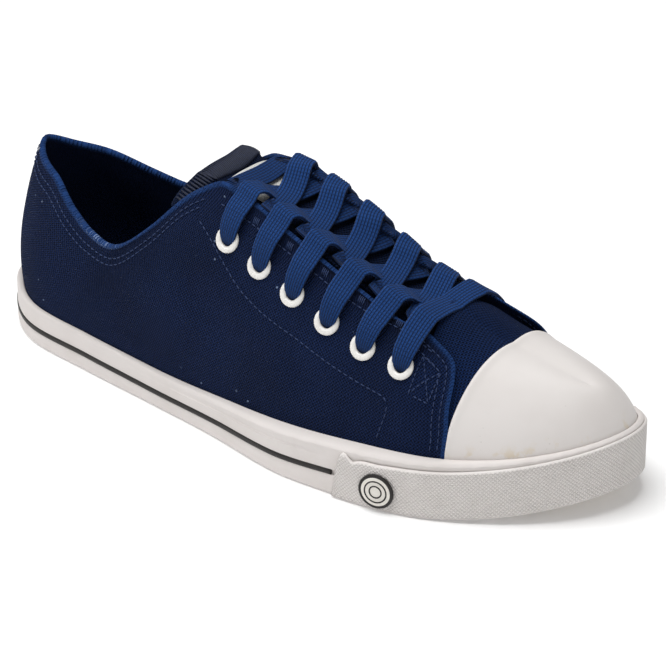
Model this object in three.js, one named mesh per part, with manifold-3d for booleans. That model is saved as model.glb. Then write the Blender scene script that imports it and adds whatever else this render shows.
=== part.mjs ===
// A right canvas sneaker with a rubber toe cap and a rubber sole, empty and laced to the top.
// Millimetres. X runs from the heel to the toe, -Y is the outer (lateral) side, +Y the inner
// (medial) side, and Z = 0 is the floor. The upper, the cap, the tongue and the lace all follow one
// surface, worked out from the sizes and tables below.
import * as THREE from "three";
import { mergeVertices } from "three/addons/utils/BufferGeometryUtils.js";
import Module from "manifold-3d";

const wasm = await Module();
wasm.setup();

// Main sizes of the shoe.
const LENGTH = 285; // outsole, back of the heel to the tip of the toe
const BALL_WIDTH = 93.3; // outsole across the ball
const INSTEP_HEIGHT = 105; // ridge of the shared surface above the floor, which the lacing sags below
const HEEL_HEIGHT = 74.5; // collar above the floor at the back of the heel
const TOE_SWING = 27; // how far the toe swings to the inner side
const TOE_SPRING = 9.7; // how far the tip of the sole stands off the floor
const SPRING_START = 0.797; // share of the length where the sole leaves the floor
const GAP = 0.3; // clearance between neighbouring pieces

// Walls and thicknesses.
const QUARTER_WALL = 2.2; // canvas, backer and lining of the quarters
const VAMP_WALL = 1.3; // single canvas and lining of the vamp
const CAP_WALL = 1.5; // rubber of the toe cap
const BINDING_RISE = 0.5; // the folded collar edge stands off the quarter by this
const BINDING_WIDTH = 3;
const TONGUE_WALL = 2;
const INSOLE_WALL = 3;
const SOLE_FORE = 6; // outsole under the ball
const SOLE_HEEL = 10; // outsole under the heel
const FOXING_HEIGHT = 24; // rubber band round the shoe, at its highest
const FOXING_FOOT = 5; // its thickness at the floor, from the upper's edge outward
const TOE_FOOT = 6.5; // the same round the toe, where the cap and bumper lie over it
const BUMPER_WALL = 1.2; // textured strip round the toe
const STRIPE_HEIGHT = 2;
const STRIPE_DEPTH = 0.9; // groove that the dark stripe lies in
const BEAD_RISE = 0.4; // fine line above the stripe
const BEAD_WIDTH = 1;
const BEAD_PLACE = 0.55; // share of the way from the stripe to the top edge
const FOXING_BEVEL = 0.8;
const BEAD_START = 0.25; // shares of the length between which the bead rises out of the band
const BEAD_FULL = 0.5;
const LIP = 4; // upper stretch of the band's inner side, which follows the upper's swell
const FLOOR_GAP = 0.4; // the band stops short of the floor, so that the outsole bears the shoe
const RELIEF_RUN = 0.1; // share of the length over which the band sinks under the bumper
const GROOVE_WIDTH = 2.5; // tread grooves across the outsole
const GROOVE_DEPTH = 1.2;
const GROOVE_COUNT = 17;
const GROOVE_FIRST = 0.06;
const GROOVE_LAST = 0.92;
const GROOVE_REST_START = 0.33; // plain stretch under the arch
const GROOVE_REST_END = 0.5;
const LABEL_WALL = 0.5; // woven label on the tongue
const LABEL_BACK = 0.412;
const LABEL_FRONT = 0.478;
const LABEL_SIDE = 0.14;

// Lacing.
const EYELET_ROWS = 6; // on each side
const EYELET_FIRST = 0.746; // share of the length of the pair next to the toe
const EYELET_STEP = 0.0586; // share of the length from one pair to the next
const EYELET_ANKLE_SIDE = 0.268; // last pair's distance from the ridge line, as a share of the ball width
const EYELET_TOE_SIDE = 0.305; // the same for the first pair
const EYELET_RADIUS = 5.2;
const EYELET_HOLE = 2.6;
const EYELET_WALL = 0.5;
const EYELET_RISE = 1;
const LACE_WIDTH = 8.8;
const LACE_THICK = 1.1;
const LACE_PINCH = 0.75; // share of the eyelet's hole that the lace is pinched to
const LACE_ROOM = 1.7; // room for the lace between quarter and tongue
const BAR_REST = 1.6; // the same for the bar next to the toe
const LACE_LEAD = 0.009; // a strip comes up this much nearer the ankle than its eyelet
const LACE_STEPS = 6;
const LACE_CLOSE = 0.6; // places of a strip nearer to each other than this count as one
const LACE_CLEAR = 0.6; // clearance over the facing
const LACE_DIP = 1.2; // how far a strip dips into the hole of its eyelet
const EYELET_SEAT = 0.5; // the ring stands this much over the smooth surface, clear of the facets
const EYELET_CLEAR = 1.6; // clearance over the rim of an eyelet
const EYELET_RUN = 1; // a strip has risen to the rim this far before it
const TOP_LACE_OUTER = 0.43; // share of the length where the top strip ends on each side
const TOP_LACE_INNER = 0.437;
const TOP_LACE_LIFT = 1.1; // lift of its lower face over the bare tongue, past the label
const TOP_LACE_STOP = 1.5; // how far inside the facings it ends
const LACING_BACK = [0.35, 0.41]; // shares of the length between which the tongue makes room for the lace
const LACING_FRONT = [0.79, 0.84]; // and between which it comes up to the vamp again
const THROAT_HALF = 0.174; // half of the gap between the facings, as a share of the ball width

// Badge on the outer side of the bumper.
const BADGE_RADIUS = 7.1;
const BADGE_WALL = 1.2;
const BADGE_RIM = 0.86; // inner radius of the rim, as a share of the radius

// Faces along the length, over the side of the last, and round small discs.
const COLUMNS = 26;
const ROWS = 9;
const DISC_SIDES = 12;
const COLLAR_STEPS = 18;
const EDGE_STEPS = 12;
const HALVINGS = 26; // steps of a search for a place on the surface
const LOWEST_PLACE = 0.12; // such a search stays above this height and between these stations
const FIRST_STATION = 0.02;
const LAST_STATION = 0.98;
const SMALL_STEP = 0.01; // of station or height, for the directions of the surface

// Reach of the blocks that only cut.
const SKIRT = 6; // how far a form reaches below its edge
const SOLE_MARGIN = 10; // how far the sole's block reaches past its outline
const TALL = 2 * INSTEP_HEIGHT;
const WIDE = BALL_WIDTH;

// Where the layers begin and end, as shares of the length.
const CAP_EDGE = 0.838; // rear edge of the cap at the middle
const CAP_CURVE = 0.012; // how much further back it starts at the sides
const LAYERS_SINK = 0.7; // from here on the wall sinks to lie under the cap
const LAYERS_SUNK = 0.84;
const STRIPE_END = 0.69;
const BADGE_ALONG = 0.761;
const BADGE_HEIGHT = 0.37; // share of the foxing height

// A table with named columns, one row for each station.
function table(columns, rows) {
  return Object.fromEntries(columns.map((name, at) => [name, rows.map((row) => row[at])]));
}

// Sole outline: half widths as shares of the ball width, along the length.
const OUTLINE = table(["along", "lateral", "medial"], [
  [0, 0, 0],
  [0.03, 0.2, 0.194],
  [0.1, 0.343, 0.334],
  [0.22, 0.384, 0.38],
  [0.35, 0.408, 0.366],
  [0.48, 0.437, 0.377],
  [0.6, 0.493, 0.444],
  [0.7, 0.513, 0.487],
  [0.8, 0.492, 0.473],
  [0.89, 0.397, 0.396],
  [0.96, 0.255, 0.26],
  [1, 0, 0],
]);

// Sections of the last, heel to toe: height of the ridge as a share of the instep height, fullness
// of either side as the exponent of the section's curve, and swell beyond the sole as a share of the
// ball width.
const LAST = table(["along", "ridge", "lateral", "medial", "swell"], [
  [0, 0.776, 1.86, 1.86, 0.04],
  [0.16, 0.772, 1.97, 1.97, 0.06],
  [0.32, 0.946, 2.15, 2.15, 0.045],
  [0.46, 1, 1.87, 2.3, 0.023],
  [0.58, 0.936, 1.62, 1.9, 0],
  [0.7, 0.796, 1.6, 1.6, 0.001],
  [0.85, 0.594, 2.18, 2.18, 0.024],
  [1, 0.453, 2.5, 2.5, 0.05],
]);

// Sag between the facings, where the tongue and the lace lie nearly flat: its greatest depth below
// the surface, as a share of the instep height, along the length.
const SAG_WIDE = 0.9; // it sags over this share of the gap between the facings
const SAG = table(["along", "depth"], [
  [0.31, 0],
  [0.372, 0.03],
  [0.442, 0.105],
  [0.5, 0.132],
  [0.6, 0.132],
  [0.66, 0.11],
  [0.72, 0.07],
  [0.76, 0.03],
  [0.8, 0],
]);
const RIDGE_BACK = 0.042; // share of the length where the ridge starts over the heel
const RIDGE_FRONT = 0.937; // and where it ends over the toe

// Collar line: height as a share of the heel height, along the length.
const COLLAR = table(["along", "height"], [
  [-0.05, 1.03],
  [0.007, 1],
  [0.053, 0.93],
  [0.105, 0.9],
  [0.158, 0.822],
  [0.21, 0.77],
  [0.267, 0.777],
  [0.323, 0.952],
  [0.372, 1.165],
  [0.414, 1.278],
  [0.47, 1.46],
]);

// Throat: half of the gap between the facings as a share of the ball width, along the length.
const THROAT = table(["along", "half"], [
  [0.372, 0.3],
  [0.39, 0.215],
  [0.414, 0.178],
  [0.45, 0.178],
  [0.53, 0.19],
  [0.65, 0.197],
  [0.745, 0.194],
  [0.76, 0.178],
  [0.77, 0.12],
]);

// Front edge of the quarters: distance from the ridge as a share of the ball width, along the length.
const QUARTER_FRONT = table(["along", "side"], [
  [0.74, 0.185],
  [0.776, 0.205],
  [0.8, 0.222],
  [0.81, 0.25],
  [0.8165, 0.29],
  [0.822, 0.34],
  [0.828, 0.37],
  [0.831, 0.52],
]);

// Foxing: height of the top edge and of the stripe as shares of its greatest height.
const FOXING = table(["along", "top", "stripe"], [
  [0, 0.7, 0.28],
  [0.2, 0.69, 0.31],
  [0.4, 0.65, 0.29],
  [0.6, 0.83, 0.36],
  [0.8, 0.98, 0.47],
  [1, 0.96, 0.47],
]);

// Bumper: height of the top edge along the length, as a share of the foxing height.
const BUMPER = table(["along", "top"], [
  [0.694, 0.06],
  [0.698, 0.42],
  [0.727, 0.75],
  [0.764, 0.81],
  [0.86, 0.86],
  [1, 0.88],
]);

// Tongue in plan, from the middle of its top edge round to its root under the vamp.
const TONGUE = table(["along", "side"], [
  [0.376, 0],
  [0.372, 0.09],
  [0.358, 0.18],
  [0.345, 0.225],
  [0.34, 0.25],
  [0.352, 0.28],
  [0.4, 0.3],
  [0.5, 0.29],
  [0.65, 0.27],
  [0.77, 0.24],
  [0.8, 0.2],
]);

// Lift of a strip's middle over the outer surface inside the throat, along its way from one facing
// to the other, in shares of half the gap between them. One strip of a pair lies under, one over.
const LACE_LIFT = table(["across", "under", "over"], [
  [-0.84, -2.7, -2.7],
  [-0.77, -2.5, -1.9],
  [-0.67, -2.1, -0.4],
  [0, -1.85, -1],
  [0.67, -1.5, -0.4],
  [0.83, 0.6, 0.9],
  [0.93, 0.95, 0.95],
]);

// A smooth curve through the points of a table's columns. A calm one doesn't swing past its points.
function curve(along, values, calm = false) {
  const last = along.length - 1;
  const step = (i) => (values[i + 1] - values[i]) / (along[i + 1] - along[i]);
  const slope = (i) => {
    if (i === 0) return step(0);
    if (i === last) return step(last - 1);
    const before = along[i] - along[i - 1];
    const after = along[i + 1] - along[i];
    if (calm && step(i) * step(i - 1) <= 0) return 0;
    return (step(i) * before + step(i - 1) * after) / (before + after);
  };
  return (at) => {
    let i = 0;
    while (i < last - 1 && at > along[i + 1]) i += 1;
    const width = along[i + 1] - along[i];
    const t = THREE.MathUtils.clamp((at - along[i]) / width, 0, 1);
    const rest = 1 - t;
    return (
      values[i] * (1 + 2 * t) * rest * rest +
      slope(i) * width * t * rest * rest +
      values[i + 1] * t * t * (3 - 2 * t) -
      slope(i + 1) * width * t * t * rest
    );
  };
}

// Round ends come from a station that runs with the angle of a half circle, not with the length.
const stationOf = (share) => Math.acos(1 - 2 * share) / Math.PI;
const shareOf = (station) => (1 - Math.cos(Math.PI * station)) / 2;

const outlineStations = OUTLINE.along.map(stationOf);
const halfWidth = {
  [-1]: curve(outlineStations, OUTLINE.lateral),
  [1]: curve(outlineStations, OUTLINE.medial),
};
const ridgeShare = curve(LAST.along, LAST.ridge);
const fullness = {
  [-1]: curve(LAST.along, LAST.lateral),
  [1]: curve(LAST.along, LAST.medial),
};
const sagShare = curve(SAG.along, SAG.depth, true);
const swellShare = curve(LAST.along, LAST.swell);
const footInset = curve([0, 0.6, 0.8, 1], [FOXING_FOOT, FOXING_FOOT, TOE_FOOT, TOE_FOOT]);
const soleWall = curve([0, 0.5, 0.8, 1], [SOLE_HEEL, (SOLE_HEEL + SOLE_FORE) / 2, SOLE_FORE, SOLE_FORE]);
const collarShare = curve(COLLAR.along, COLLAR.height);
const throatShare = curve(THROAT.along, THROAT.half);
const foxingTop = curve(FOXING.along, FOXING.top);
const stripeShare = curve(FOXING.along, FOXING.stripe);
const bumperTop = curve(BUMPER.along, BUMPER.top);

function swing(x) {
  const past = Math.max(0, (x / LENGTH - 0.5) / 0.5);
  return TOE_SWING * past * past;
}

function floorLine(x) {
  const past = Math.max(0, (x / LENGTH - SPRING_START) / (1 - SPRING_START));
  return TOE_SPRING * past * past;
}

function rawOutline(station, side) {
  const share = shareOf(station);
  const x = LENGTH * share;
  const width = share <= 0 || share >= 1 ? 0 : BALL_WIDTH * halfWidth[side](station);
  return new THREE.Vector2(x, swing(x) + side * width);
}

// A point of the sole outline, moved outward by a distance, with its outward direction.
function outlineAt(station, side, outward = 0) {
  const small = 1e-3;
  const at = rawOutline(station, side);
  const before = rawOutline(Math.max(0, station - small), side);
  const after = rawOutline(Math.min(1, station + small), side);
  const along = after.sub(before).normalize();
  let out = new THREE.Vector2(-side * along.y, side * along.x);
  if (station <= 0) out = new THREE.Vector2(-1, 0);
  if (station >= 1) out = new THREE.Vector2(1, 0);
  return { point: at.addScaledVector(out, outward), out };
}

function ridgeAt(station) {
  const share = shareOf(station);
  const x = LENGTH * (RIDGE_BACK + (RIDGE_FRONT - RIDGE_BACK) * share);
  return new THREE.Vector3(x, swing(x), INSTEP_HEIGHT * ridgeShare(share));
}

// The outer surface of the shoe above the sole. Each section runs from the edge of the sole, at
// height 0, up and over to the ridge, at height 1.
function surfaceAt(station, side, height) {
  const share = shareOf(station);
  const { point, out } = outlineAt(station, side, -footInset(share));
  const ridge = ridgeAt(station);
  const angle = (height * Math.PI) / 2;
  const power = 2 / fullness[side](share);
  const over = 1 - Math.pow(Math.max(0, Math.cos(angle)), power);
  const rise = Math.pow(Math.max(0, Math.sin(angle)), power);
  const swell = BALL_WIDTH * swellShare(share) * Math.sin(Math.PI * Math.pow(rise, 0.7));
  const foot = floorLine(point.x) + soleWall(share);
  return new THREE.Vector3(
    point.x + (ridge.x - point.x) * over + out.x * swell,
    point.y + (ridge.y - point.y) * over + out.y * swell,
    foot + (ridge.z - foot) * rise,
  );
}

// Index of a point of the grid. Both sides share the ridge and the lines of heel and toe.
function gridIndex(side, column, row) {
  const shared = row === ROWS || column === 0 || column === COLUMNS;
  const half = side > 0 && !shared ? 1 : 0;
  return (half * (COLUMNS + 1) + column) * (ROWS + 1) + row;
}

function gridFaces() {
  const faces = [];
  for (const side of [-1, 1]) {
    for (let column = 0; column < COLUMNS; column += 1) {
      for (let row = 0; row < ROWS; row += 1) {
        const a = gridIndex(side, column, row);
        const b = gridIndex(side, column + 1, row);
        const c = gridIndex(side, column + 1, row + 1);
        const d = gridIndex(side, column, row + 1);
        faces.push(...(side < 0 ? [a, b, c, a, c, d] : [a, c, b, a, d, c]));
      }
    }
  }
  return faces;
}

// The grid of the surface and its normals, worked out once.
const grid = (() => {
  const count = 2 * (COLUMNS + 1) * (ROWS + 1);
  const positions = new Float32Array(count * 3);
  for (const side of [-1, 1]) {
    for (let column = 0; column <= COLUMNS; column += 1) {
      for (let row = 0; row <= ROWS; row += 1) {
        const at = surfaceAt(column / COLUMNS, side, row / ROWS);
        at.toArray(positions, gridIndex(side, column, row) * 3);
      }
    }
  }
  const geometry = new THREE.BufferGeometry();
  geometry.setAttribute("position", new THREE.BufferAttribute(positions, 3));
  geometry.setIndex(gridFaces());
  geometry.computeVertexNormals();
  return geometry;
})();

function toManifold(geometry) {
  const bare = geometry.clone();
  bare.deleteAttribute("normal");
  bare.deleteAttribute("uv");
  const merged = mergeVertices(bare, 1e-4);
  return new wasm.Manifold(
    new wasm.Mesh({
      numProp: 3,
      vertProperties: new Float32Array(merged.attributes.position.array),
      triVerts: new Uint32Array(merged.index.array),
    }),
  );
}

function fromPoints(points, faces) {
  const geometry = new THREE.BufferGeometry();
  const flat = points.flatMap((p) => [p.x, p.y, p.z]);
  geometry.setAttribute("position", new THREE.Float32BufferAttribute(flat, 3));
  geometry.setIndex(faces);
  return toManifold(geometry);
}

// Adds a four-sided face as triangles, leaving out any that has shrunk to a line.
function quad(faces, a, b, c, d) {
  if (a !== b && b !== c && a !== c) faces.push(a, b, c);
  if (a !== c && c !== d && a !== d) faces.push(a, c, d);
}

const THROAT_EDGE = THROAT_HALF * BALL_WIDTH;

// How far a corner of the grid sinks between the facings.
function cornerSag(side, column, row) {
  const index = gridIndex(side, column, row);
  const corner = new THREE.Vector3().fromBufferAttribute(grid.attributes.position, index);
  const across = (corner.y - swing(corner.x)) / (SAG_WIDE * THROAT_EDGE);
  return INSTEP_HEIGHT * sagShare(corner.x / LENGTH) * Math.max(0, 1 - across * across);
}

// The same at any place: straight from corner to corner, as the faces of the tongue are.
function sagAt({ side, station, height }) {
  const column = Math.min(COLUMNS - 1, Math.floor(station * COLUMNS));
  const row = Math.min(ROWS - 1, Math.floor(height * ROWS));
  const over = (at) => {
    const [lower, upper] = [cornerSag(side, at, row), cornerSag(side, at, row + 1)];
    return THREE.MathUtils.lerp(lower, upper, height * ROWS - row);
  };
  return THREE.MathUtils.lerp(over(column), over(column + 1), station * COLUMNS - column);
}

// The closed form inside the surface, moved outward by a distance that may change along the length,
// and sagging between the facings or not. It reaches below the sole's top, so that the sole trims it.
function form(outward, below = SKIRT, sags = false) {
  const from = grid.attributes.position;
  const normals = grid.attributes.normal;
  const points = Array.from({ length: from.count }, () => new THREE.Vector3());
  for (const side of [-1, 1]) {
    for (let column = 0; column <= COLUMNS; column += 1) {
      const distance = outward(shareOf(column / COLUMNS));
      for (let row = 0; row <= ROWS; row += 1) {
        const i = gridIndex(side, column, row);
        const normal = new THREE.Vector3().fromBufferAttribute(normals, i);
        points[i].fromBufferAttribute(from, i).addScaledVector(normal, distance);
        if (sags) points[i].z -= cornerSag(side, column, row);
      }
    }
  }
  const faces = gridFaces();
  const feet = new Map();
  const foot = (side, column) => {
    const top = gridIndex(side, column, 0);
    if (!feet.has(top)) {
      feet.set(top, points.length);
      points.push(points[top].clone().setZ(points[top].z - below));
    }
    return feet.get(top);
  };
  for (let column = 0; column < COLUMNS; column += 1) {
    const next = column + 1;
    const [outer, outerNext] = [foot(-1, column), foot(-1, next)];
    const [inner, innerNext] = [foot(1, column), foot(1, next)];
    quad(faces, outer, outerNext, gridIndex(-1, next, 0), gridIndex(-1, column, 0));
    quad(faces, inner, gridIndex(1, column, 0), gridIndex(1, next, 0), innerNext);
    quad(faces, outer, inner, innerNext, outerNext);
  }
  return fromPoints(points, faces);
}

// A slab that fills the outline, moved outward, between two heights that change along the length.
function slab(outward, bottom, top) {
  const points = [];
  for (let column = 0; column <= COLUMNS; column += 1) {
    const share = shareOf(column / COLUMNS);
    for (const side of [-1, 1]) {
      const { point } = outlineAt(column / COLUMNS, side, outward(share));
      const here = point.x / LENGTH;
      points.push(new THREE.Vector3(point.x, point.y, bottom(here)));
      points.push(new THREE.Vector3(point.x, point.y, top(here)));
    }
  }
  const index = (side, column, level) => {
    const shared = column === 0 || column === COLUMNS;
    return column * 4 + (side > 0 && !shared ? 2 : 0) + level;
  };
  const faces = [];
  for (let column = 0; column < COLUMNS; column += 1) {
    const corners = (at) => [index(-1, at, 0), index(-1, at, 1), index(1, at, 0), index(1, at, 1)];
    const [a, b, c, d] = corners(column);
    const [e, f, g, h] = corners(column + 1);
    quad(faces, b, f, h, d);
    quad(faces, a, c, g, e);
    quad(faces, a, e, f, b);
    quad(faces, c, d, h, g);
  }
  return fromPoints(points, faces);
}

// A flat shape carried straight up, or straight across the shoe.
function prism(outline, from, to, across = false) {
  const shape = new THREE.Shape(outline.map(([u, v]) => new THREE.Vector2(u, v)));
  const geometry = new THREE.ExtrudeGeometry(shape, { depth: to - from, bevelEnabled: false });
  geometry.translate(0, 0, from);
  if (across) geometry.rotateX(Math.PI / 2);
  return toManifold(geometry);
}

// A ring's points in its own plane.
function flatten(ring) {
  const u = ring[1].clone().sub(ring[0]).normalize();
  const normal = new THREE.Vector3();
  ring.forEach((p, k) => {
    const q = ring[(k + 1) % ring.length];
    normal.add(p.clone().sub(ring[0]).cross(q.clone().sub(ring[0])));
  });
  const v = normal.normalize().cross(u);
  return ring.map((p) => new THREE.Vector2(p.dot(u), p.dot(v)));
}

// A strip swept through rings of points, closed at both ends or joined to itself.
function sweep(rings, joined = false) {
  const size = rings[0].length;
  const points = rings.flat();
  const faces = [];
  const count = joined ? rings.length : rings.length - 1;
  for (let i = 0; i < count; i += 1) {
    const next = ((i + 1) % rings.length) * size;
    for (let k = 0; k < size; k += 1) {
      const after = (k + 1) % size;
      quad(faces, i * size + k, i * size + after, next + after, next + k);
    }
  }
  if (!joined) {
    const end = (rings.length - 1) * size;
    for (const [a, b, c] of THREE.ShapeUtils.triangulateShape(flatten(rings[0]), [])) {
      faces.push(a, c, b, end + a, end + b, end + c);
    }
  }
  const made = fromPoints(points, faces);
  return made.volume() > 0 ? made : fromPoints(points, faces.reverse());
}

// Stops round the outline: from the outer side to the inner side, over the heel or the toe. They
// keep to the stations of the grid, so that bands that lie on each other have the same corners.
const gridStations = Array.from({ length: COLUMNS + 1 }, (_, i) => i / COLUMNS);

function stopsRound(share, end) {
  const first = stationOf(share);
  const between = gridStations.filter((at) => (at - first) * (at - end) <= 0);
  const stations = [first, ...(end > first ? between : between.reverse())];
  const outer = stations.map((station) => ({ station, side: -1 }));
  const inner = stations.map((station) => ({ station, side: 1 })).reverse();
  return [...outer, ...inner.slice(1)];
}

// Rings of a profile carried round the outline. The profile gives pairs of outward distance and
// height above the bottom of the sole.
function rings(stops, profile) {
  return stops.map(({ station, side }) => {
    const share = shareOf(station);
    return profile(share, station, side).map(([outward, height]) => {
      const { point } = outlineAt(station, side, outward);
      return new THREE.Vector3(point.x, point.y, floorLine(point.x) + height);
    });
  });
}

// A point of the surface with its sag.
const laidAt = (station, side, height) => {
  const point = surfaceAt(station, side, height);
  return point.setZ(point.z - sagAt({ station, side, height }));
};

// The outward normal of a surface, from its points a small step away.
function normalAt(pointAt, station, side, height) {
  const lower = Math.min(height, 1 - SMALL_STEP);
  const ahead = pointAt(station + SMALL_STEP, side, lower).sub(pointAt(station - SMALL_STEP, side, lower));
  const upward = pointAt(station, side, lower + SMALL_STEP).sub(pointAt(station, side, lower - SMALL_STEP));
  return ahead.cross(upward).multiplyScalar(-side).normalize();
}

// The point of the outer surface that lies at a place along the shoe and across from the ridge
// line, with the surface's normal there.
function placeAt(along, across) {
  const side = across < 0 ? -1 : 1;
  const x = along * LENGTH;
  const y = swing(x) + across;
  const heightAt = (station) => {
    let [low, high] = [LOWEST_PLACE, 1];
    for (let i = 0; i < HALVINGS; i += 1) {
      const middle = (low + high) / 2;
      const inside = side * (surfaceAt(station, side, middle).y - y) > 0;
      if (inside) low = middle;
      else high = middle;
    }
    return (low + high) / 2;
  };
  let [back, front] = [FIRST_STATION, LAST_STATION];
  for (let i = 0; i < HALVINGS; i += 1) {
    const middle = (back + front) / 2;
    if (surfaceAt(middle, side, heightAt(middle)).x < x) back = middle;
    else front = middle;
  }
  const station = (back + front) / 2;
  const height = heightAt(station);
  const point = surfaceAt(station, side, height);
  return { point, normal: normalAt(surfaceAt, station, side, height), side, station, height };
}

const liftedFrom = ({ point, normal }, lift) => point.clone().addScaledVector(normal, lift);

// Layers of the upper: how far each one lies inside the outer surface, along the length.
const underCap = (share) => THREE.MathUtils.smoothstep(share, LAYERS_SINK, LAYERS_SUNK);
const lastDepth = (share) => -QUARTER_WALL - (CAP_WALL + GAP + VAMP_WALL - QUARTER_WALL) * underCap(share);
const vampDepth = (share) => lastDepth(share) + VAMP_WALL;
const soleTop = (share) => floorLine(LENGTH * share) + soleWall(share);

// Side view of the collar line, as a region from one distance above the line to another.
function collarRegion(from, to) {
  const [start, end] = [COLLAR.along[0], COLLAR.along.at(-1)];
  const step = (end - start) / COLLAR_STEPS;
  const alongs = Array.from({ length: COLLAR_STEPS + 1 }, (_, i) => start + step * i);
  const line = alongs.map((along) => [along * LENGTH, HEEL_HEIGHT * collarShare(along)]);
  const lower = line.map(([x, z]) => [x, z + from]);
  const upper = line.map(([x, z]) => [x, to === null ? TALL : z + to]).reverse();
  return prism([...lower, ...upper], -WIDE, WIDE, true);
}

// Plan of a region that is the same on both sides of the ridge line, from a table of its edge.
function planRegion(alongs, halves, steps = null) {
  const half = curve(alongs, halves);
  const [start, end] = [alongs[0], alongs.at(-1)];
  const places = steps === null
    ? alongs.map((along, i) => [along, halves[i]])
    : Array.from({ length: steps + 1 }, (_, i) => {
      const along = start + ((end - start) * i) / steps;
      return [along, half(along)];
    });
  const edge = (side) => places.map(([along, share]) => {
    const x = along * LENGTH;
    return [x, swing(x) + side * share * BALL_WIDTH];
  });
  return { outer: edge(-1), inner: edge(1) };
}

const both = ({ outer, inner }) => prism([...outer, ...inner.reverse()], FOXING_HEIGHT, TALL);

// Plan of the quarters: all that lies behind their front edge on either side of the throat.
function quarterRegion() {
  const { outer, inner } = planRegion(QUARTER_FRONT.along, QUARTER_FRONT.side);
  const end = inner.at(-1)[0];
  const outside = [[-LENGTH, -WIDE], [end, -WIDE], ...outer.reverse()];
  return prism([...outside, ...inner, [end, WIDE], [-LENGTH, WIDE]], -FOXING_HEIGHT, TALL);
}

// Plan of the cap: all that lies in front of its curved rear edge.
function capRegion() {
  const line = Array.from({ length: EDGE_STEPS + 1 }, (_, i) => {
    const across = -1 + (2 * i) / EDGE_STEPS;
    const x = LENGTH * (CAP_EDGE - CAP_CURVE * across * across);
    return [x, swing(x) + (across * WIDE) / 2];
  });
  const rear = line[0][0];
  const around = [[rear, WIDE], [2 * LENGTH, WIDE], [2 * LENGTH, -WIDE], [rear, -WIDE]];
  return prism([...line, ...around], -FOXING_HEIGHT, TALL);
}

const outer = form(() => 0);
const last = form(lastDepth, 2 * SKIRT);
const soleBlock = slab(() => SOLE_MARGIN, () => -FOXING_HEIGHT, soleTop);

// Eyelets. The rows stand a little further apart toward the toe.
function eyeletAcross(row) {
  return BALL_WIDTH * THREE.MathUtils.lerp(EYELET_TOE_SIDE, EYELET_ANKLE_SIDE, row / (EYELET_ROWS - 1));
}

const eyelets = [];
for (const side of [-1, 1]) {
  for (let row = 0; row < EYELET_ROWS; row += 1) {
    const along = EYELET_FIRST - EYELET_STEP * row;
    const across = side * eyeletAcross(row);
    const name = `eyelet_${side < 0 ? "lateral" : "medial"}_${row + 1}`;
    eyelets.push({ name, side, along, across, place: placeAt(along, across) });
  }
}

// Turns a solid that stands on the origin to stand on a place of the surface.
function stand(geometry, { point, normal }) {
  const up = new THREE.Vector3(0, 0, 1);
  geometry.rotateX(Math.PI / 2);
  geometry.applyQuaternion(new THREE.Quaternion().setFromUnitVectors(up, normal));
  geometry.translate(point.x, point.y, point.z);
  return toManifold(geometry);
}

function eyelet({ place }) {
  const barrel = EYELET_HOLE + EYELET_WALL;
  const under = -(QUARTER_WALL + GAP);
  const profile = [
    [EYELET_HOLE, under],
    [barrel, under],
    [barrel, EYELET_SEAT],
    [EYELET_RADIUS, EYELET_SEAT],
    [EYELET_RADIUS - EYELET_WALL, EYELET_SEAT + EYELET_RISE],
    [EYELET_HOLE, EYELET_SEAT + EYELET_RISE / 2],
    [EYELET_HOLE, under],
  ].map(([r, z]) => new THREE.Vector2(r, z));
  return stand(new THREE.LatheGeometry(profile, DISC_SIDES), place);
}

function eyeletHole({ place }) {
  const radius = EYELET_HOLE + EYELET_WALL + GAP;
  return stand(new THREE.CylinderGeometry(radius, radius, 4 * QUARTER_WALL, DISC_SIDES), place);
}

// Upper: vamp and quarters as one wall, with the quarters and the collar edge as steps in it.
const throat = both(planRegion(THROAT.along, THROAT.half, EDGE_STEPS));
const collarAbove = collarRegion(0, null);
const binding = form(() => BINDING_RISE).intersect(collarRegion(-BINDING_WIDTH, BINDING_WIDTH));
let upper = form(vampDepth).add(outer.intersect(quarterRegion())).add(binding);
upper = upper.subtract(last).subtract(collarAbove).subtract(throat).subtract(soleBlock);
for (const one of eyelets) upper = upper.subtract(eyeletHole(one));

// Toe cap, laid over the vamp.
const capInside = form(() => -CAP_WALL);
const cap = outer.subtract(capInside).intersect(capRegion()).subtract(soleBlock);

// Tongue: against the lining at its top, lower under the lacing, and sagging between the facings.
const tongueTop = (share) => {
  const behind = 1 - THREE.MathUtils.smoothstep(share, ...LACING_FRONT);
  const lacing = THREE.MathUtils.smoothstep(share, ...LACING_BACK) * behind;
  return lastDepth(share) - GAP - LACE_ROOM * lacing;
};
const tonguePlan = both(planRegion(TONGUE.along, TONGUE.side));
const laid = (outward) => form(outward, SKIRT, true);
const tongue = laid(tongueTop)
  .subtract(laid((share) => tongueTop(share) - TONGUE_WALL))
  .intersect(tonguePlan);
const labelPlan = both(planRegion([LABEL_BACK, LABEL_FRONT], [LABEL_SIDE, LABEL_SIDE]));
const label = laid((share) => tongueTop(share) + GAP + LABEL_WALL)
  .subtract(laid((share) => tongueTop(share) + GAP))
  .intersect(labelPlan);

// Sole: outsole with its grooves, insole, and the rubber band round both.
const ringStops = [
  ...gridStations.map((station) => ({ station, side: -1 })),
  ...gridStations.slice(1, -1).reverse().map((station) => ({ station, side: 1 })),
];

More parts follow.
